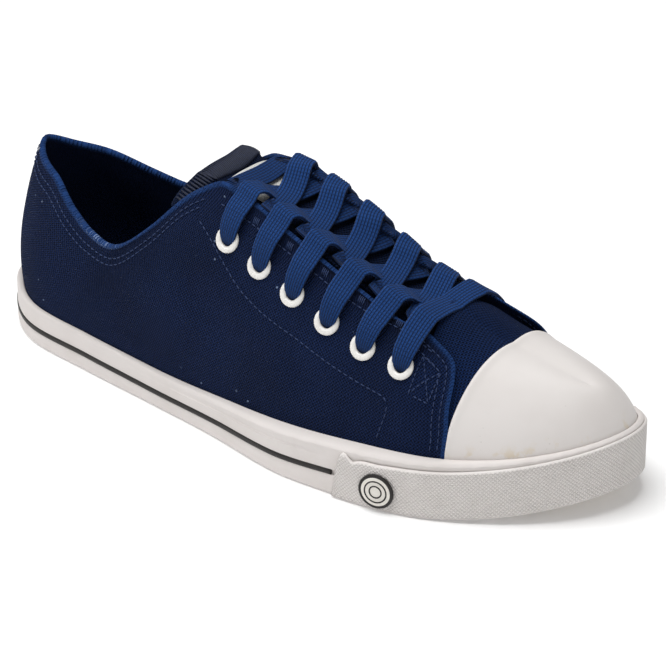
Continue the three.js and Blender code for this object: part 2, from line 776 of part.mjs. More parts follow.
let outsole = slab(
  (share) => -footInset(share),
  (share) => floorLine(LENGTH * share),
  (share) => soleTop(share) - GAP,
);
for (let i = 0; i < GROOVE_COUNT; i += 1) {
  const along = GROOVE_FIRST + ((GROOVE_LAST - GROOVE_FIRST) * i) / (GROOVE_COUNT - 1);
  if (along > GROOVE_REST_START && along < GROOVE_REST_END) continue;
  const x = along * LENGTH;
  const groove = new THREE.BoxGeometry(GROOVE_WIDTH, 2 * WIDE, 2 * GROOVE_DEPTH);
  groove.translate(x, 0, floorLine(x));
  outsole = outsole.subtract(toManifold(groove));
}
const insoleInset = (share) => -footInset(share) + lastDepth(share) - 2 * GAP;
const insoleFoot = (share) => soleTop(share) + GAP;
const insole = slab(insoleInset, insoleFoot, (share) => insoleFoot(share) + INSOLE_WALL);

const relief = (share) => {
  return (BUMPER_WALL + GAP) * THREE.MathUtils.smoothstep(share, STRIPE_END - RELIEF_RUN, STRIPE_END);
};
const stripeMiddle = (share) => FOXING_HEIGHT * stripeShare(share);
const BAND_REACH = 0.6; // the band ends below this height of a section

// How far the outer surface stands out from the outline at a height above the bottom of the sole.
function standOut(station, side, height) {
  const { point, out } = outlineAt(station, side);
  let [low, high] = [0, BAND_REACH];
  for (let i = 0; i < HALVINGS; i += 1) {
    const middle = (low + high) / 2;
    const at = surfaceAt(station, side, middle);
    if (at.z - floorLine(at.x) < height) low = middle;
    else high = middle;
  }
  const at = surfaceAt(station, side, low);
  return (at.x - point.x) * out.x + (at.y - point.y) * out.y;
}

const SEAT = 1.5 * GAP; // clearance between the band's lip and the upper
const foxingProfile = (share, station, side) => {
  const inside = -(footInset(share) - GAP);
  const outside = -relief(share);
  const top = FOXING_HEIGHT * foxingTop(share);
  const stripe = stripeMiddle(share);
  const groove = STRIPE_HEIGHT / 2 + GAP;
  const bead = stripe + (top - stripe) * BEAD_PLACE;
  const clear = 1 - relief(share) / (BUMPER_WALL + GAP);
  const out = outside + BEAD_RISE * THREE.MathUtils.smoothstep(share, BEAD_START, BEAD_FULL) * clear;
  const lip = top - LIP;
  const half = (soleWall(share) + lip) / 2;
  return [
    [inside, FLOOR_GAP],
    [outside, FLOOR_GAP],
    [outside, stripe - groove],
    [outside - STRIPE_DEPTH, stripe - groove],
    [outside - STRIPE_DEPTH, stripe + groove],
    [outside, stripe + groove],
    [outside, bead - BEAD_WIDTH / 2],
    [out, bead],
    [outside, bead + BEAD_WIDTH / 2],
    [outside, top - FOXING_BEVEL],
    [outside - FOXING_BEVEL, top],
    [standOut(station, side, top) + SEAT, top],
    [standOut(station, side, lip) + SEAT, lip],
    [standOut(station, side, half) + SEAT, half],
    [inside, soleWall(share)],
  ];
};
const foxing = sweep(rings(ringStops, foxingProfile), true);

const stripe = sweep(rings(stopsRound(STRIPE_END, 0), (share) => {
  const outside = -relief(share);
  const middle = stripeMiddle(share);
  return [
    [outside - STRIPE_DEPTH + GAP, middle - STRIPE_HEIGHT / 2],
    [outside + GAP, middle - STRIPE_HEIGHT / 2],
    [outside + GAP, middle + STRIPE_HEIGHT / 2],
    [outside - STRIPE_DEPTH + GAP, middle + STRIPE_HEIGHT / 2],
  ];
}));

const bumper = sweep(rings(stopsRound(BUMPER.along[0], 1), (share) => {
  const top = FOXING_HEIGHT * bumperTop(share);
  const bevel = Math.min(BUMPER_WALL / 2, top / 3);
  return [
    [-BUMPER_WALL, FLOOR_GAP],
    [0, FLOOR_GAP],
    [0, top - bevel],
    [-bevel, top],
    [-BUMPER_WALL, top],
  ];
}));

// Badge: a round disc with a raised rim on the outer side of the bumper.
const badge = (() => {
  const { point, out } = outlineAt(stationOf(BADGE_ALONG), -1, GAP);
  const z = floorLine(LENGTH * BADGE_ALONG) + BADGE_HEIGHT * FOXING_HEIGHT;
  const place = {
    point: new THREE.Vector3(point.x, point.y, z),
    normal: new THREE.Vector3(out.x, out.y, 0),
  };
  const rim = BADGE_RADIUS * BADGE_RIM;
  const profile = [
    [0, 0],
    [BADGE_RADIUS, 0],
    [BADGE_RADIUS, BADGE_WALL],
    [rim, BADGE_WALL],
    [rim, BADGE_WALL / 2],
    [0, BADGE_WALL / 2],
  ].map(([r, z]) => new THREE.Vector2(r, z));
  return stand(new THREE.LatheGeometry(profile, 2 * DISC_SIDES), place);
})();

// Lace. Each strip runs straight in plan, from one place to another. The lift is the height of its
// middle over the outer surface, given for places across the shoe.
function strip(from, to, across, lifts, widths) {
  const lift = curve(across, lifts, true);
  const width = curve(across, widths, true);
  const alongAt = (y) => from + ((to - from) * (y - across[0])) / (across.at(-1) - across[0]);
  const step = (across.at(-1) - across[0]) / LACE_STEPS;
  const places = Array.from({ length: LACE_STEPS + 1 }, (_, i) => across[0] + step * i);
  const sorted = [...places, ...across].sort((a, b) => a - b);
  const dense = sorted.filter((y, i) => i === 0 || y - sorted[i - 1] > LACE_CLOSE);
  const sites = dense.map((y) => ({ y, site: placeAt(alongAt(y), y) }));
  const middles = sites.map(({ y, site }) => {
    const middle = liftedFrom(site, lift(y));
    return middle.setZ(middle.z - sagAt(site));
  });
  return sweep(middles.map((middle, i) => {
    const before = middles[Math.max(0, i - 1)];
    const after = middles[Math.min(middles.length - 1, i + 1)];
    const along = after.clone().sub(before).normalize();
    const { station, side, height } = sites[i].site;
    const wide = normalAt(laidAt, station, side, height).cross(along).normalize();
    const thick = along.clone().cross(wide).normalize();
    const half = width(sites[i].y) / 2;
    const corner = (a, b) => {
      return middle.clone().addScaledVector(wide, a * half).addScaledVector(thick, (b * LACE_THICK) / 2);
    };
    return [corner(-1, -1), corner(1, -1), corner(1, 1), corner(-1, 1)];
  }));
}

const OVER = LACE_CLEAR + LACE_THICK / 2;
const ON_EYELET = EYELET_CLEAR + EYELET_RISE + LACE_THICK / 2;
const TIGHT = 2 * EYELET_HOLE * LACE_PINCH;

// From under the facing on one side, over the tongue, to the eyelet on the other side.
function crossing(side, row, column) {
  const inside = LACE_LIFT.across.map((share) => share * THROAT_EDGE);
  const eye = eyeletAcross(row);
  const rim = eye - EYELET_RADIUS;
  const outside = [THROAT_EDGE, rim - EYELET_RUN, rim, eye - EYELET_HOLE, eye];
  const across = [...inside, ...outside].map((y) => side * y);
  const overEyelet = [ON_EYELET - GAP, ON_EYELET, ON_EYELET - GAP, ON_EYELET - LACE_DIP];
  const lifts = [...LACE_LIFT[column], OVER, ...overEyelet];
  const widths = across.map((_, i) => (i < across.length - 2 ? LACE_WIDTH : TIGHT));
  const from = EYELET_FIRST - EYELET_STEP * (row - 1) - LACE_LEAD;
  const to = EYELET_FIRST - EYELET_STEP * row;
  if (side > 0) return strip(from, to, across, lifts, widths);
  return strip(to, from, across.reverse(), lifts.reverse(), widths.reverse());
}

const crossings = Array.from({ length: EYELET_ROWS - 1 }, (_, i) => {
  return crossing(-1, i + 1, "under").add(crossing(1, i + 1, "over"));
});

const barEye = eyeletAcross(0);
const barHalf = [THROAT_EDGE, barEye - EYELET_RADIUS, barEye - EYELET_HOLE, barEye];
const barLift = [OVER + 3 * GAP, ON_EYELET, ON_EYELET, ON_EYELET - LACE_DIP];
const barWidth = [LACE_WIDTH, LACE_WIDTH, TIGHT, TIGHT];
const mirrored = (list, middle, sign = 1) => [...list.map((v) => sign * v).reverse(), middle, ...list];
const bar = strip(EYELET_FIRST, EYELET_FIRST, mirrored(barHalf, 0, -1),
  mirrored(barLift, BAR_REST), mirrored(barWidth, LACE_WIDTH));

const topLift = TOP_LACE_LIFT + LABEL_WALL + LACE_THICK / 2 - (QUARTER_WALL + LACE_ROOM);
const topEdge = THROAT_EDGE - TOP_LACE_STOP;
const topLace = strip(TOP_LACE_OUTER, TOP_LACE_INNER, [-topEdge, 0, topEdge], [topLift, topLift, topLift],
  [LACE_WIDTH, LACE_WIDTH, LACE_WIDTH]);

// Colours and surfaces.
const material = (color, roughness) => () => {
  return new THREE.MeshStandardMaterial({ color, roughness, metalness: 0 });
};
const canvas = material(0x131f42, 0.95);
const braid = material(0x173c74, 0.85);
const rubber = material(0xd6d0cb, 0.7);
const capRubber = material(0xe2dedb, 0.6);
const black = material(0x1c1a18, 0.6);
const white = material(0xecebe8, 0.45);
const lining = material(0x1b3a70, 0.95);

const shoe = new THREE.Group();

function put(name, solid, look) {
  const mesh = solid.getMesh();
  const geometry = new THREE.BufferGeometry();
  geometry.setAttribute("position", new THREE.BufferAttribute(new Float32Array(mesh.vertProperties), 3));
  geometry.setIndex(new THREE.BufferAttribute(new Uint32Array(mesh.triVerts), 1));
  geometry.computeVertexNormals();
  const node = new THREE.Mesh(geometry, look());
  node.name = name;
  shoe.add(node);
}

put("outsole", outsole, rubber);
put("foxing", foxing, rubber);
put("foxing_stripe", stripe, black);
put("toe_bumper", bumper, rubber);
put("side_badge", badge, white);
put("insole", insole, lining);
put("upper", upper, canvas);
put("toe_cap", cap, capRubber);
put("tongue", tongue, canvas);
put("tongue_label", label, white);
for (const one of eyelets) put(one.name, eyelet(one), white);
put("lace_bar", bar, braid);
crossings.forEach((solid, i) => put(`lace_crossing_${i + 1}`, solid, braid));
put("lace_top", topLace, braid);

// The origin lies on the floor under the middle of the shoe.
const middle = new THREE.Box3().setFromObject(shoe).getCenter(new THREE.Vector3());
for (const node of shoe.children) node.geometry.translate(-middle.x, -middle.y, 0);

export default shoe;
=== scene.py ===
"""Looks of a right canvas sneaker with a rubber toe cap, laced to the top and standing empty.

Shapes are worked out in millimetres in the maker's own frame, with the back of the heel at x = 0
and the middle line of the last at y = 0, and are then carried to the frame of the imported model.
The outer (lateral) side is -1, the inner (medial) side +1.
"""

import math

import bpy
import numpy as np
from mathutils import Matrix, Vector


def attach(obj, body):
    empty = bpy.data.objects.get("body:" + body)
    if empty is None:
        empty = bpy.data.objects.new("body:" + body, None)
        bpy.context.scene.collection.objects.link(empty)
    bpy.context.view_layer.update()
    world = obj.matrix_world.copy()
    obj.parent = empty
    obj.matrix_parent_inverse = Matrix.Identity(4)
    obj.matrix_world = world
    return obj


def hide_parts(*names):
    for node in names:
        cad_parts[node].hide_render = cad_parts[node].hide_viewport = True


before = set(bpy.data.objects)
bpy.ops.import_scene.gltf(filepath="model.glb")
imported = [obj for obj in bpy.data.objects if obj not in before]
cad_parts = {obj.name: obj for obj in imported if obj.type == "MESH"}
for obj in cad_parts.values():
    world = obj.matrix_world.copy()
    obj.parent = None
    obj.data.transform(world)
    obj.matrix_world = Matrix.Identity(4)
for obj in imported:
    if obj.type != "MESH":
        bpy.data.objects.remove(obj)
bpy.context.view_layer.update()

# Main sizes, as the solids have them.
LENGTH = 285.0
BALL_WIDTH = 93.3
INSTEP_HEIGHT = 105.0
HEEL_HEIGHT = 74.5
TOE_SWING = 27.0
TOE_SPRING = 9.7
SPRING_START = 0.797
GAP = 0.3
ORIGIN = np.array([142.35, 4.6277, 0.0])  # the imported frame's origin, in the maker's frame

QUARTER_WALL = 2.2
VAMP_WALL = 1.3
CAP_WALL = 1.5
TONGUE_WALL = 2.0
LABEL_WALL = 0.5
LABEL_BACK = 0.412
LABEL_FRONT = 0.48
FOXING_HEIGHT = 24.0
BUMPER_WALL = 1.2
STRIPE_HEIGHT = 2.0
STRIPE_DEPTH = 0.9
STRIPE_END = 0.69
RELIEF_RUN = 0.1
FLOOR_GAP = 0.4
BADGE_RADIUS = 7.1
BADGE_WALL = 1.2
EYELET_ROWS = 6
EYELET_FIRST = 0.746
EYELET_STEP = 0.0586
EYELET_ANKLE_SIDE = 0.268
EYELET_TOE_SIDE = 0.305
EYELET_RADIUS = 5.2
EYELET_HOLE = 2.6
LACE_WIDTH = 9.9
LACE_THICK = 1.1
LACE_ROOM = 1.7
LACE_LEAD = 0.009
THROAT_HALF = 0.174
FACING_TIP = 0.414  # where the collar turns into the facing
CAP_EDGE = 0.838
CAP_CURVE = 0.012
RIDGE_BACK = 0.042
RIDGE_FRONT = 0.937
SEAM_ROWS = (4.2, 6.8)  # rows of stitches, from the top edge of a quarter
FRONT_ROWS = (2.6, 5.2)  # and from its front edge
BACK_SEAM = 3.2  # rows beside the back seam, from the middle line
TONGUE_HALF = 0.25
TONGUE_END = 0.8
TONGUE_CURL = 1.6
LABEL_HALF = 0.14
BADGE_ALONG = 0.761
BADGE_LEVEL = 0.37


def columns(names, rows):
    """A table with named columns, a row for each place along the shoe."""
    return {name: np.array([row[at] for row in rows], float) for at, name in enumerate(names)}


OUTLINE = columns(("along", "lateral", "medial"), [
    (0, 0, 0), (0.03, 0.2, 0.194), (0.1, 0.343, 0.334), (0.22, 0.384, 0.38),
    (0.35, 0.408, 0.366), (0.48, 0.437, 0.377), (0.6, 0.493, 0.444), (0.7, 0.513, 0.487),
    (0.8, 0.492, 0.473), (0.89, 0.397, 0.396), (0.96, 0.255, 0.26), (1, 0, 0)])
LAST = columns(("along", "ridge", "lateral", "medial", "swell"), [
    (0, 0.776, 1.86, 1.86, 0.04), (0.16, 0.772, 1.97, 1.97, 0.06), (0.32, 0.946, 2.15, 2.15, 0.045),
    (0.46, 1, 1.87, 2.3, 0.023), (0.58, 0.936, 1.62, 1.9, 0), (0.7, 0.796, 1.6, 1.6, 0.001),
    (0.85, 0.594, 2.18, 2.18, 0.024), (1, 0.453, 2.5, 2.5, 0.05)])
SAG = columns(("along", "depth"), [
    (0.31, 0), (0.372, 0.03), (0.442, 0.105), (0.5, 0.132), (0.6, 0.132), (0.66, 0.11),
    (0.72, 0.07), (0.76, 0.03), (0.8, 0)])
SAG_WIDE = 0.9
COLLAR = columns(("along", "height"), [
    (-0.05, 1.03), (0.007, 1), (0.053, 0.93), (0.105, 0.9), (0.158, 0.822), (0.21, 0.77),
    (0.267, 0.777), (0.323, 0.952), (0.372, 1.165), (0.414, 1.278), (0.47, 1.46)])
THROAT = columns(("along", "half"), [
    (0.372, 0.3), (0.39, 0.215), (0.414, 0.178), (0.45, 0.178), (0.53, 0.19), (0.65, 0.197),
    (0.745, 0.194), (0.76, 0.178), (0.77, 0.12)])
QUARTER_FRONT = columns(("along", "side"), [
    (0.74, 0.185), (0.776, 0.205), (0.8, 0.222), (0.81, 0.25), (0.8165, 0.29),
    (0.822, 0.34), (0.828, 0.37)])
FOXING = columns(("along", "top", "stripe"), [
    (0, 0.7, 0.28), (0.2, 0.69, 0.31), (0.4, 0.65, 0.29), (0.6, 0.83, 0.36),
    (0.8, 0.98, 0.47), (1, 0.96, 0.47)])
BUMPER = columns(("along", "top"), [
    (0.694, 0.06), (0.698, 0.42), (0.727, 0.75), (0.764, 0.81), (0.86, 0.86), (1, 0.88)])
TONGUE_TOP = columns(("side", "along"), [
    (-0.25, 0.34), (-0.225, 0.345), (-0.18, 0.358), (-0.09, 0.372), (0, 0.376),
    (0.09, 0.369), (0.18, 0.352), (0.225, 0.341), (0.25, 0.338)])
TONGUE_SIDE = columns(("along", "side"), [
    (0.34, 0.25), (0.352, 0.28), (0.4, 0.3), (0.5, 0.29), (0.65, 0.27), (0.77, 0.24), (0.8, 0.2)])
LACE_LIFT = columns(("across", "under", "over"), [
    (-0.94, -2.8, -2.8), (-0.77, -2.3, -1.7), (-0.5, -1.6, -0.2), (0, -1.2, 0.5),
    (0.4, 0.5, 2.0), (0.67, 2.3, 3.1), (0.83, 1.9, 2.2), (0.93, 1.5, 1.6)])


# The surface of the last, as in the solids.

def curve(along, values, calm=False):
    """A smooth curve through the points of a table. A calm one doesn't swing past its points."""
    along, values = np.asarray(along, float), np.asarray(values, float)
    width = np.diff(along)
    step = np.diff(values) / width
    slope = np.empty(len(along))
    slope[0], slope[-1] = step[0], step[-1]
    slope[1:-1] = (step[1:] * width[:-1] + step[:-1] * width[1:]) / (width[:-1] + width[1:])
    if calm:
        slope[1:-1][step[1:] * step[:-1] <= 0] = 0

    def at(x):
        x = np.asarray(x, float)
        i = np.searchsorted(along[1:-1], x)
        t = np.clip((x - along[i]) / width[i], 0, 1)
        rest = 1 - t
        return (values[i] * (1 + 2 * t) * rest**2 + slope[i] * width[i] * t * rest**2
                + values[i + 1] * t**2 * (3 - 2 * t) - slope[i + 1] * width[i] * t**2 * rest)

    return at


def soft_step(x, low, high):
    """0 before low, 1 after high, with a soft rise between. With low over high it falls."""
    t = np.clip((np.asarray(x, float) - low) / (high - low), 0, 1)
    return t * t * (3 - 2 * t)


def found(low, high, steps, before):
    """Halves the spans from low to high until they close on the places where before ends."""
    for _ in range(steps):
        middle = (low + high) / 2
        passed = before(middle)
        low, high = np.where(passed, middle, low), np.where(passed, high, middle)
    return (low + high) / 2


# A station runs from 0 at the heel to 1 at the toe, closer in both ends than the share of the length.

def station_of(share):
    return np.arccos(1 - 2 * np.asarray(share, float)) / math.pi


def share_of(station):
    return (1 - np.cos(math.pi * np.asarray(station, float))) / 2


half_width = {-1: curve(station_of(OUTLINE["along"]), OUTLINE["lateral"]),
              1: curve(station_of(OUTLINE["along"]), OUTLINE["medial"])}
ridge_share = curve(LAST["along"], LAST["ridge"])
fullness = {-1: curve(LAST["along"], LAST["lateral"]), 1: curve(LAST["along"], LAST["medial"])}
sag_share = curve(SAG["along"], SAG["depth"], True)
swell_share = curve(LAST["along"], LAST["swell"])
foot_inset = curve([0, 0.6, 0.8, 1], [5, 5, 6.5, 6.5])
sole_wall = curve([0, 0.5, 0.8, 1], [10, 8, 6, 6])
collar_share = curve(COLLAR["along"], COLLAR["height"])
throat_share = curve(THROAT["along"], THROAT["half"])
foxing_top = curve(FOXING["along"], FOXING["top"])
stripe_share = curve(FOXING["along"], FOXING["stripe"])
bumper_top = curve(BUMPER["along"], BUMPER["top"])
tongue_top = curve(TONGUE_TOP["side"], TONGUE_TOP["along"])
tongue_side = curve(TONGUE_SIDE["along"], TONGUE_SIDE["side"])


def swing(x):
    """How far the middle line has swung to the inner side."""
    return TOE_SWING * np.maximum(0, (x / LENGTH - 0.5) / 0.5)**2


def floor_line(x):
    """Height of the bottom of the sole: it springs up toward the toe."""
    return TOE_SPRING * np.maximum(0, (x / LENGTH - SPRING_START) / (1 - SPRING_START))**2


def raw_outline(station, side):
    share = share_of(station)
    x = LENGTH * share
    width = np.where(side < 0, half_width[-1](station), half_width[1](station)) * BALL_WIDTH
    width = np.where((share <= 0) | (share >= 1), 0, width)
    return np.stack([x, swing(x) + side * width], -1)


def outline_at(station, side, outward=0.0):
    """Points of the sole's outline moved outward, and their outward directions."""
    station, side = np.broadcast_arrays(np.asarray(station, float), np.asarray(side, float))
    small = 1e-3
    along = (raw_outline(np.minimum(1, station + small), side)
             - raw_outline(np.maximum(0, station - small), side))
    along /= np.linalg.norm(along, axis=-1, keepdims=True)
    out = np.stack([-side * along[..., 1], side * along[..., 0]], -1)
    out = np.where((station <= 0)[..., None], [-1.0, 0.0], out)
    out = np.where((station >= 1)[..., None], [1.0, 0.0], out)
    return raw_outline(station, side) + out * np.asarray(outward)[..., None], out


SECTION_STEPS = 4000


def section_rows(side):
    """All that a section of the surface needs, for even steps of the station."""
    station = np.linspace(0, 1, SECTION_STEPS + 1)
    share = share_of(station)
    point, out = outline_at(station, side, -foot_inset(share))
    ridge_x = LENGTH * (RIDGE_BACK + (RIDGE_FRONT - RIDGE_BACK) * share)
    foot = floor_line(point[:, 0]) + sole_wall(share)
    swell = out * (BALL_WIDTH * swell_share(share))[:, None]
    return np.stack([point[:, 0], point[:, 1], ridge_x - point[:, 0], swing(ridge_x) - point[:, 1],
                     foot, INSTEP_HEIGHT * ridge_share(share) - foot, 2 / fullness[int(side)](share),
                     swell[:, 0], swell[:, 1]], 1)


SECTIONS = np.stack([section_rows(-1.0), section_rows(1.0)])


def section_at(station, side):
    """The section at a station, from the rows worked out once."""
    place = np.clip(station, 0, 1) * SECTION_STEPS
    i = np.minimum(place.astype(int), SECTION_STEPS - 1)
    t = (place - i)[..., None]
    half = (side > 0).astype(int)
    return np.moveaxis(SECTIONS[half, i] * (1 - t) + SECTIONS[half, i + 1] * t, -1, 0)


def on_section(section, height):
    x, y, dx, dy, foot, tall, power, swell_x, swell_y = section
    angle = height * math.pi / 2
    over = 1 - np.maximum(0, np.cos(angle))**power
    rise = np.maximum(0, np.sin(angle))**power
    swell = np.sin(math.pi * rise**0.7)
    return np.stack([x + dx * over + swell_x * swell, y + dy * over + swell_y * swell,
                     foot + tall * rise], -1)


def surface_at(station, side, height):
    """Points of the outer surface above the sole: height 0 at the sole, 1 on the ridge."""
    places = (np.asarray(place, float) for place in (station, side, height))
    station, side, height = np.broadcast_arrays(*places)
    return on_section(section_at(station, side), height)


def find_place(x, across):
    """Station and height of the surface's points at places in plan, measured from the middle line."""
    x, across = np.broadcast_arrays(np.asarray(x, float), np.asarray(across, float))
    side = np.where(across < 0, -1.0, 1.0)
    y = swing(x) + across

    def height_at(section):
        inside = lambda height: side * (on_section(section, height)[..., 1] - y) > 0
        return found(np.full(x.shape, 0.12), np.ones(x.shape), 20, inside)

    def behind(station):
        section = section_at(station, side)
        return on_section(section, height_at(section))[..., 0] < x

    station = found(np.full(x.shape, 0.02), np.full(x.shape, 0.98), 20, behind)
    return station, side, height_at(section_at(station, side))


def sagging(points):
    """Points of the surface, lowered between the facings, where tongue and lace lie nearly flat."""
    x = points[..., 0]
    across = (points[..., 1] - swing(x)) / (SAG_WIDE * THROAT_HALF * BALL_WIDTH)
    lowered = points.copy()
    lowered[..., 2] -= INSTEP_HEIGHT * sag_share(x / LENGTH) * np.maximum(0, 1 - across**2)
    return lowered


def normal_at(station, side, height, shape=lambda points: points):
    """Outward directions of the surface, or of what shape makes of it."""
    step = 0.01
    lower = np.minimum(height, 1 - step)
    at = lambda st, h: shape(surface_at(st, side, h))
    ahead = at(np.minimum(1, station + step), lower) - at(np.maximum(0, station - step), lower)
    upward = at(station, lower + step) - at(station, np.maximum(0, lower - step))
    normal = np.cross(ahead, upward) * -side[..., None]
    return normal / np.linalg.norm(normal, axis=-1, keepdims=True)


def height_for(station, side, line):
    """Height on each station where the surface reaches a line, given as z over x."""
    def below(height):
        at = surface_at(station, side, height)
        return at[..., 2] < line(at[..., 0])

    return found(np.zeros(np.shape(station)), np.ones(np.shape(station)), 24, below)


def last_depth(share):
    """Where the upper's inner face lies. It goes deeper toward the toe, under the cap and the vamp."""
    return -QUARTER_WALL - (CAP_WALL + GAP + VAMP_WALL - QUARTER_WALL) * soft_step(share, 0.7, 0.84)


def tongue_depth(share):
    """Where the tongue's outer face lies, with room for the lace between the facings."""
    lacing = soft_step(share, 0.35, 0.41) * (1 - soft_step(share, 0.79, 0.84))
    return last_depth(share) - GAP - LACE_ROOM * lacing


def collar_line(x):
    """Height of the collar's edge, seen from the side."""
    return HEEL_HEIGHT * collar_share(x / LENGTH)


# Mesh making.

def finish_piece(obj, nodes):
    """Puts a piece on the shoe's one body, in the place of CAD nodes."""
    obj.data.shade_smooth()
    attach(obj, "root")
    if nodes:
        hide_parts(*nodes)
    return obj


def mesh_piece(name, points, faces, materials, uv=None, marks=None, face_material=None):
    """A mesh object from points in the maker's frame. uv is in millimetres, a pair for each point."""
    mesh = bpy.data.meshes.new(name)
    placed = (np.asarray(points) - ORIGIN) / 1000
    mesh.from_pydata(placed.tolist(), [], [list(map(int, face)) for face in faces])
    for material in materials:
        mesh.materials.append(material)
    corner = np.empty(len(mesh.loops), np.int32)
    mesh.loops.foreach_get("vertex_index", corner)
    if uv is not None:
        layer = mesh.uv_layers.new(name="cloth")
        layer.uv.foreach_set("vector", (np.asarray(uv, np.float32)[corner] / 1000).ravel())
    for mark, values in (marks or {}).items():
        layer = mesh.attributes.new(mark, "FLOAT", "POINT")
        layer.data.foreach_set("value", np.asarray(values, np.float32))
    if face_material is not None:
        mesh.polygons.foreach_set("material_index", np.asarray(face_material, np.int32))
    mesh.validate()
    obj = bpy.data.objects.new(name, mesh)
    bpy.context.scene.collection.objects.link(obj)
    return obj


def grid_quads(wide, high):
    """Faces of a grid of points, wide by high, in rows along the second index."""
    a = np.arange(wide * high).reshape(wide, high)
    return np.stack([a[:-1, :-1], a[1:, :-1], a[1:, 1:], a[:-1, 1:]], -1).reshape(-1, 4)


def thick_sheet(name, base, outer, inner, materials, uv, marks=None, rim=3):
    """A closed sheet with rounded edges on a grid of surface points, between two offsets."""
    wide, high = base.shape[:2]
    flat = base.reshape(-1, 3)
    quads = grid_quads(wide, high)
    _, first, same = np.unique(np.round(flat, 3), axis=0, return_index=True, return_inverse=True)
    points, quads = flat[first], same.reshape(-1)[quads]
    kept = [q for q in quads if len(set(q)) >= 3]
    quads = np.array([q for q in kept if len(set(q)) == 4])
    thirds = [list(dict.fromkeys(q)) for q in kept if len(set(q)) == 3]
    faces = [list(q) for q in quads] + thirds
    normals = np.zeros_like(points)
    corners = [points[quads[:, k]] for k in range(4)]
    cross = np.cross(corners[2] - corners[0], corners[3] - corners[1])
    for k in range(4):
        np.add.at(normals, quads[:, k], cross)
    normals /= np.linalg.norm(normals, axis=1, keepdims=True) + 1e-12
    # A line inside the shoe tells which way is outward.
    inside_x = points[:, 0].clip(40, 240)
    inside = np.stack([inside_x, swing(inside_x), np.full(len(points), 25.0)], 1)
    if (normals * (points - inside)).sum() < 0:
        normals = -normals
        faces = [f[::-1] for f in faces]
    pick = lambda values: np.broadcast_to(values, (wide, high)).reshape(-1)[first]
    over, under = pick(outer), pick(inner)
    top = points + normals * over[:, None]
    low = points + normals * under[:, None]
    count = len(points)
    edges = dict.fromkeys(edge for f in faces for edge in zip(f, f[1:] + f[:1]))
    border = [(a, b) for a, b in edges if (b, a) not in edges]
    outward = {}
    for a, b in border:
        way = np.cross(points[b] - points[a], normals[a])
        way /= np.linalg.norm(way) + 1e-12
        for v in (a, b):
            outward[v] = outward.get(v, 0) + way
    ring, extra, extra_from = {}, [], []
    for v, way in outward.items():
        way = way / (np.linalg.norm(way) + 1e-12)
        middle, half = (top[v] + low[v]) / 2, (top[v] - low[v]) / 2
        thick = np.linalg.norm(half)
        ring[v] = [v]
        for k in range(1, rim + 1):
            angle = math.pi * k / (rim + 1)
            ring[v].append(2 * count + len(extra))
            extra.append(middle + half * math.cos(angle) + way * thick * math.sin(angle))
            extra_from.append(v)
        ring[v].append(count + v)
    all_points = np.concatenate([top, low, np.array(extra)])
    all_faces = list(faces) + [[v + count for v in f[::-1]] for f in faces]
    face_material = [0] * len(faces) + [min(1, len(materials) - 1)] * len(faces)
    for a, b in border:
        for k in range(rim + 1):
            all_faces.append([ring[b][k], ring[a][k], ring[a][k + 1], ring[b][k + 1]])
            face_material.append(0)
    back = np.concatenate([np.arange(count), np.arange(count), np.array(extra_from, int)])
    uv_points = np.stack([pick(uv[..., 0]), pick(uv[..., 1])], 1)[back]
    marks = {m: pick(v)[back] for m, v in (marks or {}).items()}
    return mesh_piece(name, all_points, all_faces, materials, uv_points, marks, face_material)


def swept(name, rings, material, looped=False, uv=None, marks=None):
    """A closed strip through rings of points, with both ends shut unless it is joined to itself."""
    rings = np.asarray(rings)
    count, size = rings.shape[:2]
    faces = []
    for i in range(count if looped else count - 1):
        a, b = i * size, (i + 1) % count * size
        for k in range(size):
            n = (k + 1) % size
            faces.append([a + k, a + n, b + n, b + k])
    if not looped:
        faces.append(list(range(size))[::-1])
        faces.append([(count - 1) * size + k for k in range(size)])
    points = rings.reshape(-1, 3)
    p = points[np.array([f[:3] for f in faces if len(f) == 4])]
    q = points[np.array([[f[0], f[2], f[3]] for f in faces if len(f) == 4])]
    volume = sum((np.cross(t[:, 0], t[:, 1]) * t[:, 2]).sum() for t in (p, q))
    if volume < 0:
        faces = [f[::-1] for f in faces]
    return mesh_piece(name, points, faces, [material], uv, marks)


def joined(name, objects):
    """Several meshes made one."""
    bpy.ops.object.select_all(action="DESELECT")
    for obj in objects:
        obj.select_set(True)
    bpy.context.view_layer.objects.active = objects[0]
    bpy.ops.object.join()
    made = bpy.context.view_layer.objects.active
    made.name = made.data.name = name
    return made


def apply_modifier(obj, kind, **settings):
    bpy.ops.object.select_all(action="DESELECT")
    obj.select_set(True)
    bpy.context.view_layer.objects.active = obj
    modifier = obj.modifiers.new(kind.lower(), kind)
    for key, value in settings.items():
        setattr(modifier, key, value)
    bpy.ops.object.modifier_apply(modifier=modifier.name)


def arc(points, axis):
    """Length along a grid of points, from its first row or column."""
    step = np.linalg.norm(np.diff(points, axis=axis), axis=-1)
    start = np.zeros_like(np.take(step, [0], axis=axis))
    return np.concatenate([start, np.cumsum(step, axis=axis)], axis=axis)


# Materials.

def colour(code):
    """An sRGB hex value as the linear colour that the shaders take."""
    parts = [int(code[i:i + 2], 16) / 255 for i in (1, 3, 5)]
    return [p / 12.92 if p <= 0.04045 else ((p + 0.055) / 1.055)**2.4 for p in parts] + [1.0]


# What nodes of a kind have in common here, and which of their outputs is taken.
USUAL = {"Math": {"operation": "MULTIPLY"}, "Mix": {"data_type": "RGBA"}, "TexNoise": {"Roughness": 0.55}}
TAKEN = {"Mix": 2, "TexCoord": "Object", "Attribute": "Fac"}


